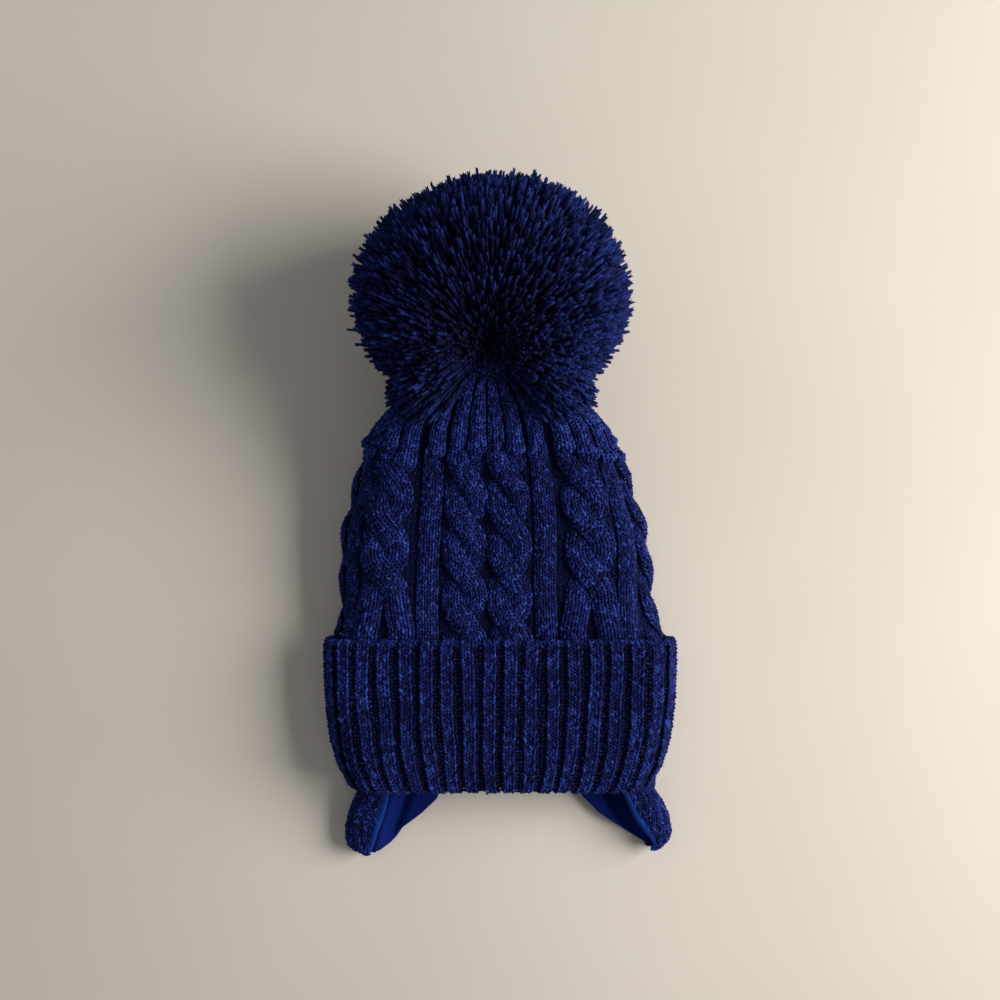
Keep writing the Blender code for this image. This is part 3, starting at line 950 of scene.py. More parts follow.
# %% Ribbing
RIB_PITCH = 9.95
CUFF_WALE = 3.0
CUFF_RIB_SINK, CUFF_VALLEY_SINK = 0.85, 1.5
rib_count = int(round(cuff_surface["girth"][3] / RIB_PITCH))
cuff_stitches = new_basket()
cuff_purls = new_basket()
cuff_end = cuff_surface["along"][-1]
at_fold = cuff_surface["along"][len(profile) - FOLD_ROWS - INNER_ROWS]


def cuff_girth(along):
    """The cuff's girth at lengths along it."""
    return np.interp(along, cuff_surface["along"], cuff_surface["girth"])


for i in range(rib_count):
    s = np.arange(0.9, cuff_end, COURSE) + rng.normal(0, 0.1)
    pitch = cuff_girth(s) / rib_count
    wander = 0.30 * np.sin(s / 11.0 + i * 1.7) + 0.18 * np.sin(s / 5.0 + i) + rng.normal(0, 0.2)
    width = np.minimum(CUFF_WALE, pitch * 0.305) * (1 + rng.normal(0, 0.05))
    swell = 0.5 * np.exp(-((s - at_fold - 3.0) / 5.0) ** 2) + 0.12 * np.sin(s / 7.0 + i * 2.3)
    rim = -0.5 * np.exp(-s / 1.5)
    for hand in (-1, 1):
        path, normal = at(cuff_surface, s, (i + 0.5) / rib_count
                          + (hand * width * 0.5 + wander) / cuff_girth(s),
                          swell + rim - CUFF_RIB_SINK)
        lay_wale(cuff_stitches, path, normal, width * 1.05, hand * 0.22, upside_down=True)
    valley = swell + rim - CUFF_VALLEY_SINK + rng.normal(0, 0.30)
    for hand in (-1, 1):
        path, normal = at(cuff_surface, s, (i + 1.0) / rib_count
                          + (hand * 1.1 + wander) / cuff_girth(s), valley)
        lay_purl(cuff_purls, path, normal, 2.3)

# %% [markdown]
# The hem ends in a cast-off row: a chain of stitches that lies on its side along the edge. It
# rides up over each rib and dips into each valley, which gives the hem its soft scallops.

# %% Cast-off row
CHAIN_STEP, CHAIN_WALE = 1.9, 2.3
turn = np.arange(0.0, cuff_girth(0.5), CHAIN_STEP) / cuff_girth(0.5)
wave = 0.5 + 0.5 * np.cos((turn * rib_count - 0.5) * 2 * math.pi)
for along, depth in ((0.25, -1.15), (1.5, -1.35)):
    path, normal = at(cuff_surface, along + 0.5 * (1 - wave), turn, depth - 0.8 * (1 - wave))
    lay_wale(cuff_stitches, path, normal, CHAIN_WALE)

front, back = split_basket(cuff_stitches, lambda m: m[:, 2] > cuff_middle)
cuff_pieces = [pour("cuff_ribs_front", front, knit_yarn),
               pour("cuff_ribs_back", back, knit_yarn, plain_leg_shape),
               pour("cuff_purls", cuff_purls, purl_yarn_painted_shade, plain_leg_shape)]
cuff_backing = cloth_from("cuff_backing", under_stitches(cuff_surface, cuff_end, 48), backing, 0.5)
cuff_pieces.append(cuff_backing)

# %% [markdown]
# ## The pom-pom
#
# A pom-pom is a skein of yarn tied tightly in the middle and cut, so some thousands of
# strands leave one point in all directions. Only their outer half can be seen, and what the
# eye notices is the cut ends: each one is a little frayed, none is quite as long as the
# next, and dark gaps run deep between them. The strands leave the tie near the gathered top,
# so those that point away from the hat are the longest.
#
# Four slightly different strands are made by extruding a pentagon ring by ring, and copies
# of them are turned to directions spread evenly over a sphere. Each copy is stretched until
# it reaches the skin of the solid pom-pom, give or take a few millimetres.

# %% Four strands
def strand_shape(seed):
    """A strand along Y from 0 to 1, one unit in radius, with its own bend and a frayed tip."""
    local = np.random.default_rng(seed)
    bend = local.normal(0, 1.0, (2, 2))

    def build(bm):
        layer = bm.loops.layers.uv["strand"]
        made = bmesh.ops.create_circle(bm, segments=5, radius=1.0)["verts"]
        bmesh.ops.rotate(bm, verts=made, matrix=QUARTER_TURN)
        verts, edges = made, list(bm.edges)
        offsets = [v.co.copy() for v in verts]
        for t, thick in ((0.35, 1.0), (0.65, 1.0), (0.90, 1.0), (1.0, 1.08)):
            drift = Vector((bend[0, 0] * t + bend[1, 0] * t * t, 0.0,
                            bend[0, 1] * t + bend[1, 1] * t * t)) * 0.9
            points = []
            for k, flat in enumerate(offsets):
                fray = 1.0 if t < 1 else (1.10 if k % 2 else 0.80)
                tip = 0.0 if t < 1 else (0.006 if k % 2 else -0.012)
                points.append(flat * thick * fray + drift + Vector((0, t + tip, 0)))
            verts, edges = extrude_to(bm, verts, edges, points)
        bmesh.ops.contextual_create(bm, geom=edges)
        bmesh.ops.recalc_face_normals(bm, faces=bm.faces)
        for face in bm.faces:
            for loop in face.loops:
                place = loop.vert.co
                turn = math.atan2(place.z, place.x) / (2 * math.pi)
                loop[layer].uv = (turn, place.y * STRAND_TURNS)
    return small_shape("strand", build)


strand_shapes = [strand_shape(seed) for seed in (1, 2, 3, 4)]
print("faces in one strand:", len(strand_shapes[0].polygons))

# %% [markdown]
# The pom-pom's outline is an egg as wide and as high as the solid, and long enough to reach
# its far end. The core, from which all strands leave, is just in front of the binding. A
# quadratic gives the distance from the core to the skin in any direction.

# %% The pom-pom's skin
POM_LONG_RADIUS = 55.0
CORE_TO_LEFT, CORE_TO_HAT = 1.0, 4.5
pom_low, pom_high = corners_of("pom_yarn")
binding_low, binding_high = corners_of("pom_binding")
pom_middle = (pom_low + pom_high) / 2
pom_middle[1] = pom_high[1] - POM_LONG_RADIUS
pom_radius = (pom_high - pom_low) / 2
pom_radius[1] = POM_LONG_RADIUS
core = pom_middle - np.array([CORE_TO_LEFT, 0.0, 0.0])
core[1] = (binding_low[1] + binding_high[1]) / 2 - CORE_TO_HAT
print("pom-pom core at", np.round(core, 1), "mm, radii", np.round(pom_radius, 1), "mm")


def reach(directions):
    """How far each direction from the core runs before it leaves the pom-pom's ellipsoid."""
    d = directions / pom_radius
    o = (core - pom_middle) / pom_radius
    a = (d * d).sum(axis=1)
    b = (d * o).sum(axis=1)
    c = (o * o).sum() - 1
    return (-b + np.sqrt(b * b - a * c)) / a


# %% [markdown]
# A golden spiral spreads the directions evenly. Two things disturb them: they part around the
# dimple on top, and neighbours lean together into soft tufts.

# %% Where the strands point
def even_directions(count):
    """Directions spread evenly over a sphere on a golden spiral, then shaken a little."""
    k = np.arange(count) + 0.5
    height = 1 - 2 * k / count
    angle = math.pi * (1 + math.sqrt(5)) * k
    ring_size = np.sqrt(1 - height ** 2)
    spread = np.stack([ring_size * np.cos(angle), height, ring_size * np.sin(angle)], axis=1)
    return unit(spread + rng.normal(0, 0.012, spread.shape))


def rolling(directions, sizes, seed):
    """A smooth random number for each direction, about -1 to 1, from a few crossed waves."""
    local = np.random.default_rng(seed)
    total = np.zeros(len(directions))
    for size in sizes:
        for _ in range(4):
            way = unit(local.normal(0, 1, 3)) * size
            total += np.sin(directions @ way + local.uniform(0, 2 * math.pi)) / size
    return total / np.abs(total).max()


STRANDS = 15000
DIMPLE = unit(np.array([-0.04, -0.02, 1.0]))
PARTING, PARTED_WITHIN = 0.17, 1.6
TUFTING = 0.075
directions = even_directions(STRANDS)
off_dimple = np.arccos(np.clip(directions @ DIMPLE, -1, 1))
sideways = unit(directions - DIMPLE * np.cos(off_dimple)[:, None])
pushed = np.sqrt(off_dimple ** 2 + PARTING ** 2 * np.maximum(1 - off_dimple / PARTED_WITHIN, 0))
parted = np.where(off_dimple < PARTED_WITHIN, pushed, off_dimple)
directions = DIMPLE * np.cos(parted)[:, None] + sideways * np.sin(parted)[:, None]
lengths = reach(directions)
tuft = np.stack([rolling(directions, (9.0, 17.0), seed) for seed in (11, 12, 13)], axis=1)
directions = unit(directions + TUFTING * tuft)

# %% [markdown]
# Trimming is done by eye, so the skin rolls a little. On the side that faces up, strands bend
# away from the tie and leave a dimple through which one looks down into the dark middle. A
# notch runs from there down to the gather. On both sides of the gather the strands reach
# further, like a skirt over the hat's shoulders.

# %% Rolling skin, dimple, notch and skirt
ROLL, TRIM = 2.4, 1.0
DIMPLE_DEPTH, DIMPLE_WIDTH = 0.60, 0.66
NOTCH_DEPTH, NOTCH_HALF, NOTCH_SOFT = 0.42, 0.42, 0.30
SKIRT = 12.0
off_dimple = np.arccos(np.clip(directions @ DIMPLE, -1, 1))
to_side = np.abs(directions[:, 0])
lengths = lengths + ROLL * rolling(directions, (3.0, 6.0, 11.0), 21) - TRIM
lengths = lengths * (1 - DIMPLE_DEPTH * np.exp(-(off_dimple / DIMPLE_WIDTH) ** 2))
notch = smooth((-directions[:, 1] - 0.05) / 0.4)
notch = notch * (1 - smooth((to_side - NOTCH_HALF) / NOTCH_SOFT))
lengths = lengths * (1 - NOTCH_DEPTH * notch * (directions[:, 2] > 0))
skirt = smooth((-directions[:, 1] - 0.25) / 0.3) * smooth((to_side - 0.45) / 0.2)
lengths = lengths + SKIRT * skirt

# %% [markdown]
# Strands whose tips would end inside the crown are left out, and so are those that point
# almost straight at the hat, where the tie is.

# %% Leaving room for the crown
CROWN_END_Y = 72.0
STRAIGHT_AT_HAT = -0.80
tips = core + directions * lengths[:, None]
wide, tall, middle = (np.interp(tips[:, 1], rows_y, slices[:, c]) for c in range(3))
inside = (np.abs(tips[:, 0] - pom_middle[0]) < wide + 1) & (np.abs(tips[:, 2] - middle) < tall + 2)
free = ~(inside & (tips[:, 1] < CROWN_END_Y)) & (directions[:, 1] >= STRAIGHT_AT_HAT)
directions, lengths = directions[free], lengths[free]
print(f"{free.sum()} of {STRANDS} strands are clear of the crown")

# %% [markdown]
# Cut ends are ragged: most strands are a little short and one in a hundred is too long. Each
# copy gets its own roll, thickness and shade, and the ones in the dimple are darker, because
# little light comes down there. Counted by how near its tip is to the hat, each quarter of
# the strands is a piece of its own with its own strand shape.

# %% Laying the strands
TOO_LONG = 0.012
SHADOW, SHADOW_WIDTH = 0.75, 0.75
STRAND_START, STRAND_THICK = 0.30, 0.66
# tips=0.42 paints light on the outer ends of the strands and shade on their inner parts.
pom_yarn_material = yarn("pom_strands", (0.0003, 0.0006, 0.007), (0.0016, 0.0033, 0.034),
                         (0.0125, 0.029, 0.175), 0.04, 2.0, tips=0.42)
count = len(directions)
ragged = rng.normal(0, 1.1, count) - np.abs(rng.normal(0, 1.5, count))
long_ones = rng.random(count) < TOO_LONG
ragged[long_ones] += rng.uniform(1.5, 4.0, long_ones.sum())
lengths = lengths + ragged
start = lengths * STRAND_START
directions = unit(directions + rng.normal(0, 0.035, directions.shape))
roll = rng.uniform(0, 2 * math.pi, count)
helper = np.where(np.abs(directions[:, 2:3]) < 0.9, [[0.0, 0.0, 1.0]], [[1.0, 0.0, 0.0]])
first = unit(np.cross(directions, helper))
second = np.cross(first, directions)
across = first * np.cos(roll)[:, None] + second * np.sin(roll)[:, None]
outward = np.cross(across, directions)
thickness = rng.normal(STRAND_THICK, 0.06, count)[:, None]
bases = core + directions * start[:, None]
shadow = SHADOW * np.exp(-(off_dimple[free] / SHADOW_WIDTH) ** 2)
shade = np.clip(rng.normal(0.5, 0.24, count), 0, 1) - shadow
ends_y = (core + directions * lengths[:, None])[:, 1]
quarter = np.argsort(np.argsort(ends_y)) * 4 // count


def lay_strands(name, shape, pick):
    """Stamps the picked strands as one piece."""
    return stamp(name, shape, bases[pick], (across * thickness)[pick],
                 (directions * (lengths - start)[:, None])[pick],
                 (outward * thickness)[pick], shade[pick], pom_yarn_material)


pom_pieces = [lay_strands(f"pom_strands_{k + 1}", shape, quarter == k)
              for k, shape in enumerate(strand_shapes)]

# %% [markdown]
# Between the strands one looks into the dark, so a rough core, nearly black with painted
# shade, fills the middle.
# It is an icosphere pulled out to a fixed share of the way to the skin. On the side of the
# hat it stays small, because the gathered top needs the room there.

# %% The pom-pom's dark heart
HEART_SHARE = 0.42
HEART_NEAR_HAT, HEART_SWELL = 1.0, 16.0


def painted_shade_heart_material():
    """Nearly black blue, painted shade, without gloss."""
    material, tree, shader = finish("pom_heart_painted_shade", 1.0, 0.0, (1.0, 1.0, 1.0), 0.05)
    where = add(tree, "TexCoord").outputs["Object"]
    dress(tree, shader, ramp(tree, noise(tree, where, 700.0), [
        (0.3, (0.0003, 0.0005, 0.003)), (0.7, (0.0012, 0.0020, 0.012))]))
    return material


def make_heart(name):
    """A rounded core inside the strands."""
    bm = bmesh.new()
    bmesh.ops.create_icosphere(bm, subdivisions=4, radius=1.0)
    for vert in bm.verts:
        way = np.array(vert.co.normalized())
        distance = float(reach(way[None, :])[0]) * HEART_SHARE
        if way[1] < 0.5:
            distance = min(distance, HEART_NEAR_HAT + HEART_SWELL * (1 + way[1]))
        vert.co = Vector((core + way * distance) * MM)
    return show(name, settle(bm, name), painted_shade_heart_material())


pom_pieces.append(make_heart("pom_heart_painted_shade"))
print("pieces of the pom-pom:", len(pom_pieces))

# %% [markdown]
# ## The lining
#
# The inside of the hat is a thin, smooth jersey, sewn in as a front and a back. It is seen
# only through the mouth and on the ear flaps. Each half is a cloth through points a little
# inside the crown and the cuff, with soft wrinkles that run lengthways, because the lining is
# wider than the ribbing that gathers it.

# %% Jersey material
def jersey(name, dark, light):
    """Smooth knitted cloth in two blues, with fine wales along Y."""
    material, tree, shader = finish(name, 0.75, 0.07, (0.1, 0.3, 1.0), 0.06)
    where = add(tree, "TexCoord").outputs["Object"]
    cloud = noise(tree, where, 60.0, 3.0)
    wales = add(tree, "Mapping", Vector=where, Scale=(1.0, 0.12, 1.0)).outputs["Vector"]
    fibre = noise(tree, wales, 1500.0, 3.0)
    mixed = maths(tree, "MULTIPLY_ADD", fibre, 0.60, maths(tree, "MULTIPLY", cloud, 0.40))
    dress(tree, shader, ramp(tree, mixed, [(0.30, dark), (0.70, light)]),
          bump(tree, fibre, 0.0003, 0.8))
    return material


lining_jersey = jersey("lining_jersey", (0.0012, 0.0058, 0.072), (0.0026, 0.0125, 0.138))
flap_trim = jersey("flap_trim", (0.0024, 0.0190, 0.125), (0.0050, 0.0380, 0.225))

# %% [markdown]
# Rays from the middle of the hat, up and down, find the inner faces of the two solid linings.
# Halfway between them lies the middle of a flat ring, and wrinkles are added to it.

# %% The two halves
CUFF_REACH_Y = -50.0
LINING_MIDDLE = (0.0, -40.0, 19.0)
WRINKLES, WRINKLE = 23, 0.45
lining_trees = {node: tree_of(node) for node in ("lining_front", "lining_back")}
lining_low, lining_high = corners_of("lining_back")
lining_rows = np.linspace(lining_low[1] + 0.5, lining_high[1] - 7.0, 60)


def inner_height(node, y):
    """The height of a lining's inner face at y, in the middle of the hat."""
    middle = cuff_middle if y < CUFF_REACH_Y else np.interp(y, rows_y, slices[:, 2])
    up = 1 if node == "lining_front" else -1
    return cast(lining_trees[node], (0, y, middle), (0, 0, up)).z


def lining_ring(y, turn):
    """Points inside the hat at y, at shares of the way round it, with lengthways wrinkles."""
    top = inner_height("lining_front", y)
    bottom = inner_height("lining_back", y)
    middle_z, high = (top + bottom) / 2, (top - bottom) / 2
    if y < crown_low[1]:
        wide, middle_x = cuff_flat_half(y) + high, 0.0
    else:
        outer = [np.interp(y, rows_y, slices[:, c]) for c in range(4)]
        wide, middle_x = outer[0] - (outer[1] - high), outer[3]
    x, z = stadium_ring(wide, high, turn, 0.0)
    folds = np.sin(turn * 2 * math.pi * WRINKLES + y / 17.0) * np.sin(y / 29.0 + turn * 9)
    inward = WRINKLE * folds - 0.5
    return np.stack([middle_x + x * (1 + inward / wide), np.full_like(x, y),
                     middle_z + z * (1 + inward / high)], axis=1)


lining_pieces = []
for node, begin in (("lining_front", -0.25), ("lining_back", 0.25)):
    turn = begin + np.linspace(0.0, 0.5, 150)
    grid = np.stack([lining_ring(float(y), turn % 1.0) for y in lining_rows])
    piece = cloth_from(node + "_cloth", grid, lining_jersey, 0.8, closed=False,
                       inward_from=LINING_MIDDLE)
    lining_pieces.append(piece)

# %% [markdown]
# ## The ear flaps
#
# Each flap is a tongue of knitting with a jersey lining, sewn to the mouth and bent in two
# along its length, so that it lies on the table like a half-closed shell. Its lining faces
# the other flap. A smooth bright binding covers the edge from root to root.
#
# A few rows, listed to follow the solid flaps, give the front edge, the fold, the back
# edge and the height of each. The two flaps aren't quite alike, since they are soft. A half
# circle joins a flat front to a flat back. Inside the mouth the flap climbs over the fold of
# the cuff, where its seam holds it.

# %% Rows of a flap
# Each row is (y, front edge, fold, back edge, height), out from the middle of the mouth.
FLAP_ROWS = {
    "left": np.array([
        (-127.0, 54.4, 69.1, 28.9, 20.0), (-134.0, 56.2, 72.4, 31.7, 18.4),
        (-140.5, 58.2, 74.6, 38.5, 16.4), (-148.0, 61.0, 76.0, 48.5, 14.2),
        (-152.5, 62.0, 76.0, 51.5, 13.0), (-156.0, 62.8, 74.8, 55.0, 12.2),
        (-158.3, 63.6, 72.4, 58.8, 11.6), (-159.4, 64.8, 69.2, 62.0, 11.2)]),
    "right": np.array([
        (-127.0, 60.4, 75.2, 36.6, 20.0), (-133.0, 63.0, 79.4, 41.5, 18.4),
        (-140.0, 66.4, 82.6, 48.5, 16.4), (-146.0, 70.6, 84.0, 57.2, 14.8),
        (-150.0, 73.4, 84.2, 63.5, 13.4), (-153.5, 75.2, 83.2, 69.0, 12.4),
        (-155.6, 76.4, 81.2, 73.0, 11.8), (-156.8, 77.2, 79.6, 75.5, 11.4)]),
}
FLAP_RIDGE = {"left": 1.0, "right": 0.35}
print("rows of a flap:", len(FLAP_ROWS["left"]))

# %% [markdown]
# Between the rows the outline is interpolated. Each line across a flap is walked from its
# front edge: a straight run, half a circle, and a straight run back, with a slight ripple
# where the cloth doesn't touch the table.

# %% A flap's surface
FLAP_ROOT_Y = -114.0
FLAP_ACROSS, FLAP_DOWN = 61, 64
ROOT_HEIGHT = 15.5


def flap_outline(rows, y):
    """Front edge, fold, back edge, height and lift off the table at y."""
    order = np.argsort(rows[:, 0])
    front_edge, fold, back_edge, high = (np.interp(y, rows[order, 0], rows[order, c])
                                         for c in (1, 2, 3, 4))
    inside = smooth((y + 128.5) / 8.0)
    lift = (wall_depth + 1.2) * inside
    high = high - (high - ROOT_HEIGHT) * inside
    return front_edge, fold, back_edge, high, lift


def flap_grid(word):
    """Points of a flap: rows from its root in the mouth to its tip, columns front to back."""
    side = -1 if word == "left" else 1
    rows = FLAP_ROWS[word]
    tip = rows[:, 0].min() - 0.4
    down = 1 - (1 - np.linspace(0, 1, FLAP_DOWN)) ** 1.5
    grid = []
    for y in FLAP_ROOT_Y + (tip - FLAP_ROOT_Y) * down:
        front_edge, fold, back_edge, high, lift = flap_outline(rows, y)
        radius = high / 2
        centre = fold - radius
        front_run = max(centre - front_edge, -radius * 0.3)
        back_run = max(centre - back_edge, -radius * 0.3)
        bend = math.pi * radius
        a = np.linspace(0, max(front_run, 0) + bend + max(back_run, 0), FLAP_ACROSS)
        turn = np.clip((a - max(front_run, 0)) / radius, 0, math.pi)
        before, past = a < front_run, a > front_run + bend
        x = centre + radius * np.sin(turn)
        x = np.where(before, centre - front_run + a, x)
        x = np.where(past, centre - (a - front_run - bend), x)
        z = np.where(before, high, radius + radius * np.cos(turn))
        z = np.where(past, 0.0, z)
        ripple = 0.5 * np.sin(a / 6.0 + y / 9.0) * smooth((-y - 124) / 8)
        grid.append(np.stack([side * x, np.full_like(x, y), z + lift + ripple * (z > 2.0)],
                             axis=1))
    return np.array(grid)


def open_surface(grid, side):
    """A surface dictionary for a grid that isn't closed around, its normals facing out."""
    down = np.gradient(grid, axis=0)
    over = np.gradient(grid, axis=1)
    normal = unit(np.cross(over, down)) * side
    if normal[len(grid) // 2, 2, 2] < 0:
        normal = -normal
    return {"points": grid, "normal": normal}


def at_open(cloth, row, column):
    """Points and normals at fractional rows and columns of an open surface."""
    rows, columns = cloth["points"].shape[:2]
    r0 = np.clip(row.astype(int), 0, rows - 2)
    c0 = np.clip(column.astype(int), 0, columns - 2)
    fr, fc = (row - r0)[:, None], (column - c0)[:, None]

    def blend(g):
        return ((g[r0, c0] * (1 - fc) + g[r0, c0 + 1] * fc) * (1 - fr)
                + (g[r0 + 1, c0] * (1 - fc) + g[r0 + 1, c0 + 1] * fc) * fr)

    return blend(cloth["points"]), unit(blend(cloth["normal"]))


# %% [markdown]
# ### Knitting of a flap
#
# The wales of a flap run from root to tip. They keep their pitch while the tongue narrows,
# so wales near the two edges stop early and the binding covers their ends.

# %% Knitting of a flap
FLAP_WALE = 2.35
MOST_WALES_EACH_SIDE = 14


def flap_knitting(name, cloth, side, row, room):
    """Wales on both sides of the fold; row gives each course and room its width in mm."""
    outer = cloth["points"]
    folds = np.argmax(side * outer[:, :, 0], axis=1)
    fold_at = np.interp(row, np.arange(FLAP_DOWN), folds) / (FLAP_ACROSS - 1) * room
    basket = new_basket()
    for j in range(-MOST_WALES_EACH_SIDE, MOST_WALES_EACH_SIDE + 1):
        place = fold_at + j * FLAP_WALE
        use = (place > 1.0) & (place < room - 1.0)
        if use.sum() < 4:
            continue
        column = (place / room)[use] * (FLAP_ACROSS - 1)
        path, normal = at_open(cloth, row[use], column)
        rib = 0.5 * math.cos(j * math.pi)
        lay_wale(basket, path - normal * (0.9 - 0.35 * rib), normal, FLAP_WALE * 1.05)
    return pour(name, basket, knit_yarn)


# %% [markdown]
# ### Lining of a flap
#
# The lining sits a little inside the knitting and puffs away from it. Outside the mouth it
# stands up in a soft ridge behind the front edge and pillows beyond it.

# %% Lining of a flap
LINING_DEPTH, PUFF, CREASE = 3.0, 0.7, 0.35
RIDGE_AT, RIDGE_WIDTH = 2.5, 3.4
PILLOW = 2.6


def flap_inside(word, cloth, side):
    """The grid of a flap's lining."""
    outer = cloth["points"]
    puff = PUFF * np.sin(np.linspace(0, math.pi, FLAP_ACROSS))[None, :, None]
    crease = CREASE * np.sin(outer[:, :, 1:2] / 4.3 + outer[:, :, 0:1] / 7.0)
    inside = outer - cloth["normal"] * (LINING_DEPTH + puff + crease * puff)
    out = side * outer[:, :, 0]
    from_front = out[:, :1] - out
    past_fold = np.arange(FLAP_ACROSS)[None, :] > np.argmax(out, axis=1)[:, None]
    outside = smooth((-122.0 - outer[:, :, 1]) / 8.0) * past_fold
    tall = np.clip((outer[:, :1, 2] - 9.0) * FLAP_RIDGE[word], 0.0, 8.0)
    ridge = tall * np.exp(-((from_front - RIDGE_AT) / RIDGE_WIDTH) ** 2)
    pillow = PILLOW * smooth((from_front - 9.0) / 5.0)
    inside[:, :, 2] += outside * (ridge + pillow)
    return inside


# %% [markdown]
# ### Binding of a flap
#
# The binding is a flat oval that is extruded along the edge, from the front root round the
# tip to the back root. It gets slimmer before the tip and stays so along the back edge, which
# lies against the table.

# %% Binding of a flap
BINDING_DEPTH, BINDING_WIDE, BINDING_THICK = 1.7, 1.8, 1.5
BINDING_STEP = 1.2
SLIMMER, SLIMS_FROM, SLIMS_OVER = 0.62, 0.26, 0.16


def edge_path(grid):
    """The edge of a flap from the front root round the tip to the back root."""
    return np.concatenate([grid[:, 0], grid[-1][1:-1], grid[:, -1][::-1]])


def evenly(path, step):
    """A path resampled to about one point per step."""
    gaps = np.linalg.norm(np.diff(path, axis=0), axis=1)
    run = np.concatenate([[0.0], np.cumsum(gaps)])
    even = np.linspace(0, run[-1], max(int(run[-1] / step), 4))
    return np.stack([np.interp(even, run, path[:, k]) for k in range(3)], axis=1)


def strip(name, path, facing, wide, thick, material, sides=10):
    """A flat oval extruded along a path; facing is the direction of its thin side."""
    bm = bmesh.new()
    layer = bm.loops.layers.uv.new("strand")
    forward = unit(np.gradient(path, axis=0))
    flat = unit(facing - forward * (facing * forward).sum(axis=1, keepdims=True))
    cross = np.cross(forward, flat)
    angle = np.arange(sides) / sides * 2 * math.pi
    wide = np.broadcast_to(wide, (len(path),))[:, None, None]
    thick = np.broadcast_to(thick, (len(path),))[:, None, None]
    rings = (path[:, None] + np.cos(angle)[None, :, None] * cross[:, None] * wide
             + np.sin(angle)[None, :, None] * flat[:, None] * thick)
    rings[:, :, 2] = np.maximum(rings[:, :, 2], 0.2)
    rings = [[Vector(p * MM) for p in points] for points in rings]
    verts, edges = ring_mesh(bm, rings[0])
    bmesh.ops.contextual_create(bm, geom=edges)
    for points in rings[1:]:
        verts, edges = extrude_to(bm, verts, edges, points)
    bmesh.ops.contextual_create(bm, geom=edges)
    bmesh.ops.recalc_face_normals(bm, faces=bm.faces)
    for face in bm.faces:
        for loop in face.loops:
            loop[layer].uv = (loop.vert.co.x / MM, loop.vert.co.y / MM)
    mesh = settle(bm, name)
    print(f"{name}: {len(mesh.polygons)} faces")
    return show(name, mesh, material)


def flap_binding(name, cloth):
    """The binding along a flap's edge, turned the way the cloth beside it faces."""
    middle_of_wall = cloth["points"] - cloth["normal"] * BINDING_DEPTH
    path = evenly(edge_path(middle_of_wall), BINDING_STEP)
    flat_points = middle_of_wall.reshape(-1, 3)
    flat_normals = cloth["normal"].reshape(-1, 3)
    nearest = [np.argmin(((flat_points - point) ** 2).sum(axis=1)) for point in path]
    share = np.linspace(0, 1, len(path))
    slim = 1 - SLIMMER * smooth((share - SLIMS_FROM) / SLIMS_OVER)
    return strip(name, path, unit(flat_normals[nearest]), BINDING_WIDE * slim,
                 BINDING_THICK * slim, flap_trim)


# %% [markdown]
# ### Both flaps
#
# The flaps are made one after the other from the same steps. Each one's widths and length
# are measured on the way, and space its knitting.

# %% Both flaps
FLAP_BACKING_DEPTH, FLAP_BACKING_LOWEST = 1.9, 0.7


def make_flap(word):
    """The knitting, backing, lining and binding of one flap."""
    side = -1 if word == "left" else 1
    outer = flap_grid(word)
    cloth = open_surface(outer, side)
    widths = np.linalg.norm(np.diff(outer, axis=1), axis=2).sum(axis=1)
    run = np.linalg.norm(np.diff(outer[:, FLAP_ACROSS // 2], axis=0), axis=1)
    run = np.concatenate([[0.0], np.cumsum(run)])
    row = np.interp(np.arange(0.5, run[-1] - 0.5, COURSE), run, np.arange(FLAP_DOWN))
    room = np.interp(row, np.arange(FLAP_DOWN), widths)
    knit = flap_knitting(f"{word}_flap_knitting", cloth, side, row, room)
    inner = outer - cloth["normal"] * FLAP_BACKING_DEPTH
    inner[:, :, 2] = np.maximum(inner[:, :, 2], FLAP_BACKING_LOWEST)
    middle = (side * 48.0, -140.0, 8.0)
    back = cloth_from(f"{word}_flap_backing", inner, backing, 0.5, False, middle)
    lining = cloth_from(f"{word}_flap_jersey", flap_inside(word, cloth, side), lining_jersey, 0.6,
                        False, middle)
    return knit, back, lining, flap_binding(f"{word}_flap_edge", cloth)


flap_pieces = {word: make_flap(word) for word in ("left", "right")}

# %% [markdown]
# ## Fuzz
#
# Wool and acrylic yarns shed a halo of fine loose fibres. Five thousand hairs, a tenth of a
# millimetre thick, stand on randomly chosen stitches and curl over. They soften the outline
# and catch light where the knitting turns away from it.

# %% Loose fibres
def hair_shape(seed):
    """A curled three-sided hair along Y, one unit thick and one unit long."""
    local = np.random.default_rng(seed)
    curl = local.uniform(8.0, 16.0)
    twist = local.uniform(2.0, 5.0)

    def build(bm):
        made = bmesh.ops.create_circle(bm, segments=3, radius=1.0)["verts"]
        bmesh.ops.rotate(bm, verts=made, matrix=QUARTER_TURN)
        verts, edges = made, list(bm.edges)
        offsets = [v.co.copy() for v in verts]
        for t in (0.25, 0.5, 0.75, 1.0):
            drift = Vector((curl * math.sin(twist * t) * t, 0, curl * t * t * 0.6))
            rise = Vector((0, t - 0.25 * t * t, 0))
            points = [flat * (1.1 - 0.6 * t) + drift + rise for flat in offsets]
            verts, edges = extrude_to(bm, verts, edges, points)
    return small_shape("hair", build)


HAIR_THICK = 0.055
HAIRS = 2600


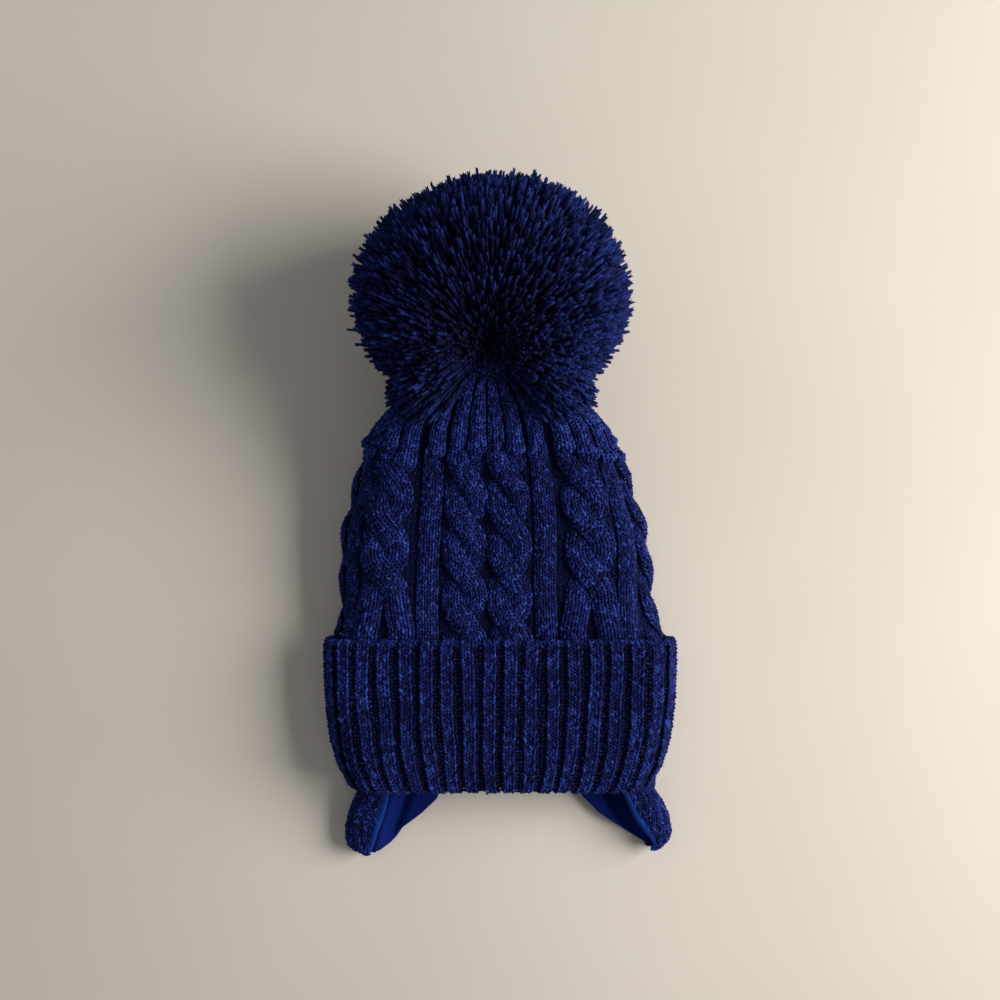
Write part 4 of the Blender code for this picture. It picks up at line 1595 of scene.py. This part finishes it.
def fuzz(name, basket, count):
    """Hairs on randomly chosen stitches of a basket."""
    arrays = joined(basket)
    pick = rng.choice(len(arrays["middles"]), count, replace=False)
    outward = unit(arrays["outward"][pick])
    way = unit(outward + rng.normal(0, 0.75, (count, 3)))
    across = unit(np.cross(way, rng.normal(0, 1, (count, 3))))
    over = np.cross(across, way)
    long = rng.uniform(1.2, 4.2, (count, 1))
    return stamp(name, hair_shape(5), arrays["middles"][pick] + outward * 0.2,
                 across * HAIR_THICK, way * long, over * HAIR_THICK,
                 rng.uniform(0.5, 1.0, count), knit_yarn)


crown_pieces.append(fuzz("crown_fuzz", crown_stitches, HAIRS))
cuff_pieces.append(fuzz("cuff_fuzz", cuff_stitches, HAIRS))

# %% [markdown]
# ## Threads from the solid model
#
# The seam yarn, the gathering thread, the knot and the tie are real round threads in the
# solid model, so they stay as they are. Only their finish changes: a twisted yarn.

# %% Finish of the threads
THREAD_TWIST = 0.0011


def thread_material():
    """Navy yarn whose plies show as slanting ridges, one for each length of its twist."""
    material, tree, shader = finish("sewing_thread", 0.8, 0.3, (0.35, 0.5, 1.0), 0.25)
    where = add(tree, "TexCoord").outputs["Object"]
    parts = add(tree, "SeparateXYZ", Vector=where)
    slant = maths(tree, "ADD", parts.outputs["Y"], maths(tree, "ADD", parts.outputs["X"],
                                                         parts.outputs["Z"]))
    twist = maths(tree, "SINE", maths(tree, "MULTIPLY", slant, 2 * math.pi / THREAD_TWIST))
    heather = noise(tree, where, 1500.0, 2.0)
    dress(tree, shader, ramp(tree, heather, [(0.3, NAVY_DARK), (0.7, NAVY)]),
          bump(tree, twist, 0.0002, 0.8))
    return material


sewing_thread = thread_material()
for node in ("crown_seam", "gather_thread", "tie_knot", "tie_loop", "tie_cord", "pom_binding",
             "left_flap_seam", "right_flap_seam"):
    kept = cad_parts[node]
    kept.data.materials.clear()
    kept.data.materials.append(sewing_thread)

# %% [markdown]
# ## What rides on what
#
# Each piece of the crown, the cuff, the linings and the pom-pom is told which body of the
# moving model carries it, and the solid that it stands for is hidden.

# %% Bodies and hidden solids
for piece in crown_pieces:
    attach(piece, "hat")
    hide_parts("crown")
for piece in cuff_pieces:
    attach(piece, "hat")
    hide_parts("ribbed_cuff")
for piece, node in zip(lining_pieces, ("lining_front", "lining_back")):
    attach(piece, "hat")
    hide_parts(node)
for piece in pom_pieces:
    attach(piece, "pom")
    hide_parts("pom_yarn")
print("riding on the hat:", len(crown_pieces) + len(cuff_pieces) + len(lining_pieces), "pieces")

# %% [markdown]
# A flap's pieces have their placement baked into their corners, and the solid flap parts
# that they stand for are hidden.

# %% The flaps' pieces
for word, pieces in flap_pieces.items():
    for piece, node, finish_name in zip(pieces, ("knit", "knit", "lining", "binding"),
                                        ("knit", "knit", "lining", "flap_trim")):
        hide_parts(f"{word}_flap_{node}")
        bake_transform(piece)

# %% [markdown]
# ## Which pieces are cloth
#
# The jersey and the knitting are sheets. The crown is knitted as a strip and loses about a
# sixth of its area to decreases at the top.

# %% [markdown]
# ## The table
#
# A broad pale board stands in for any table. It isn't part of the hat.

# %% Table
TABLE_HALF = 3.0


def table_material():
    """Pale, matt board with a faint cloudiness."""
    material, tree, shader = finish("table", 0.6, 0.0, (1.0, 1.0, 1.0), 0.25)
    where = add(tree, "TexCoord").outputs["Object"]
    cloud = noise(tree, where, 3.0, 4.0)
    dress(tree, shader, ramp(tree, cloud, [(0.3, (0.62, 0.56, 0.48)), (0.7, (0.68, 0.62, 0.54))]))
    return material


board = bmesh.new()
bmesh.ops.create_grid(board, x_segments=1, y_segments=1, size=TABLE_HALF)
table = show("table", settle(board, "table"), table_material())
print("the table is", 2 * TABLE_HALF, "metres wide")
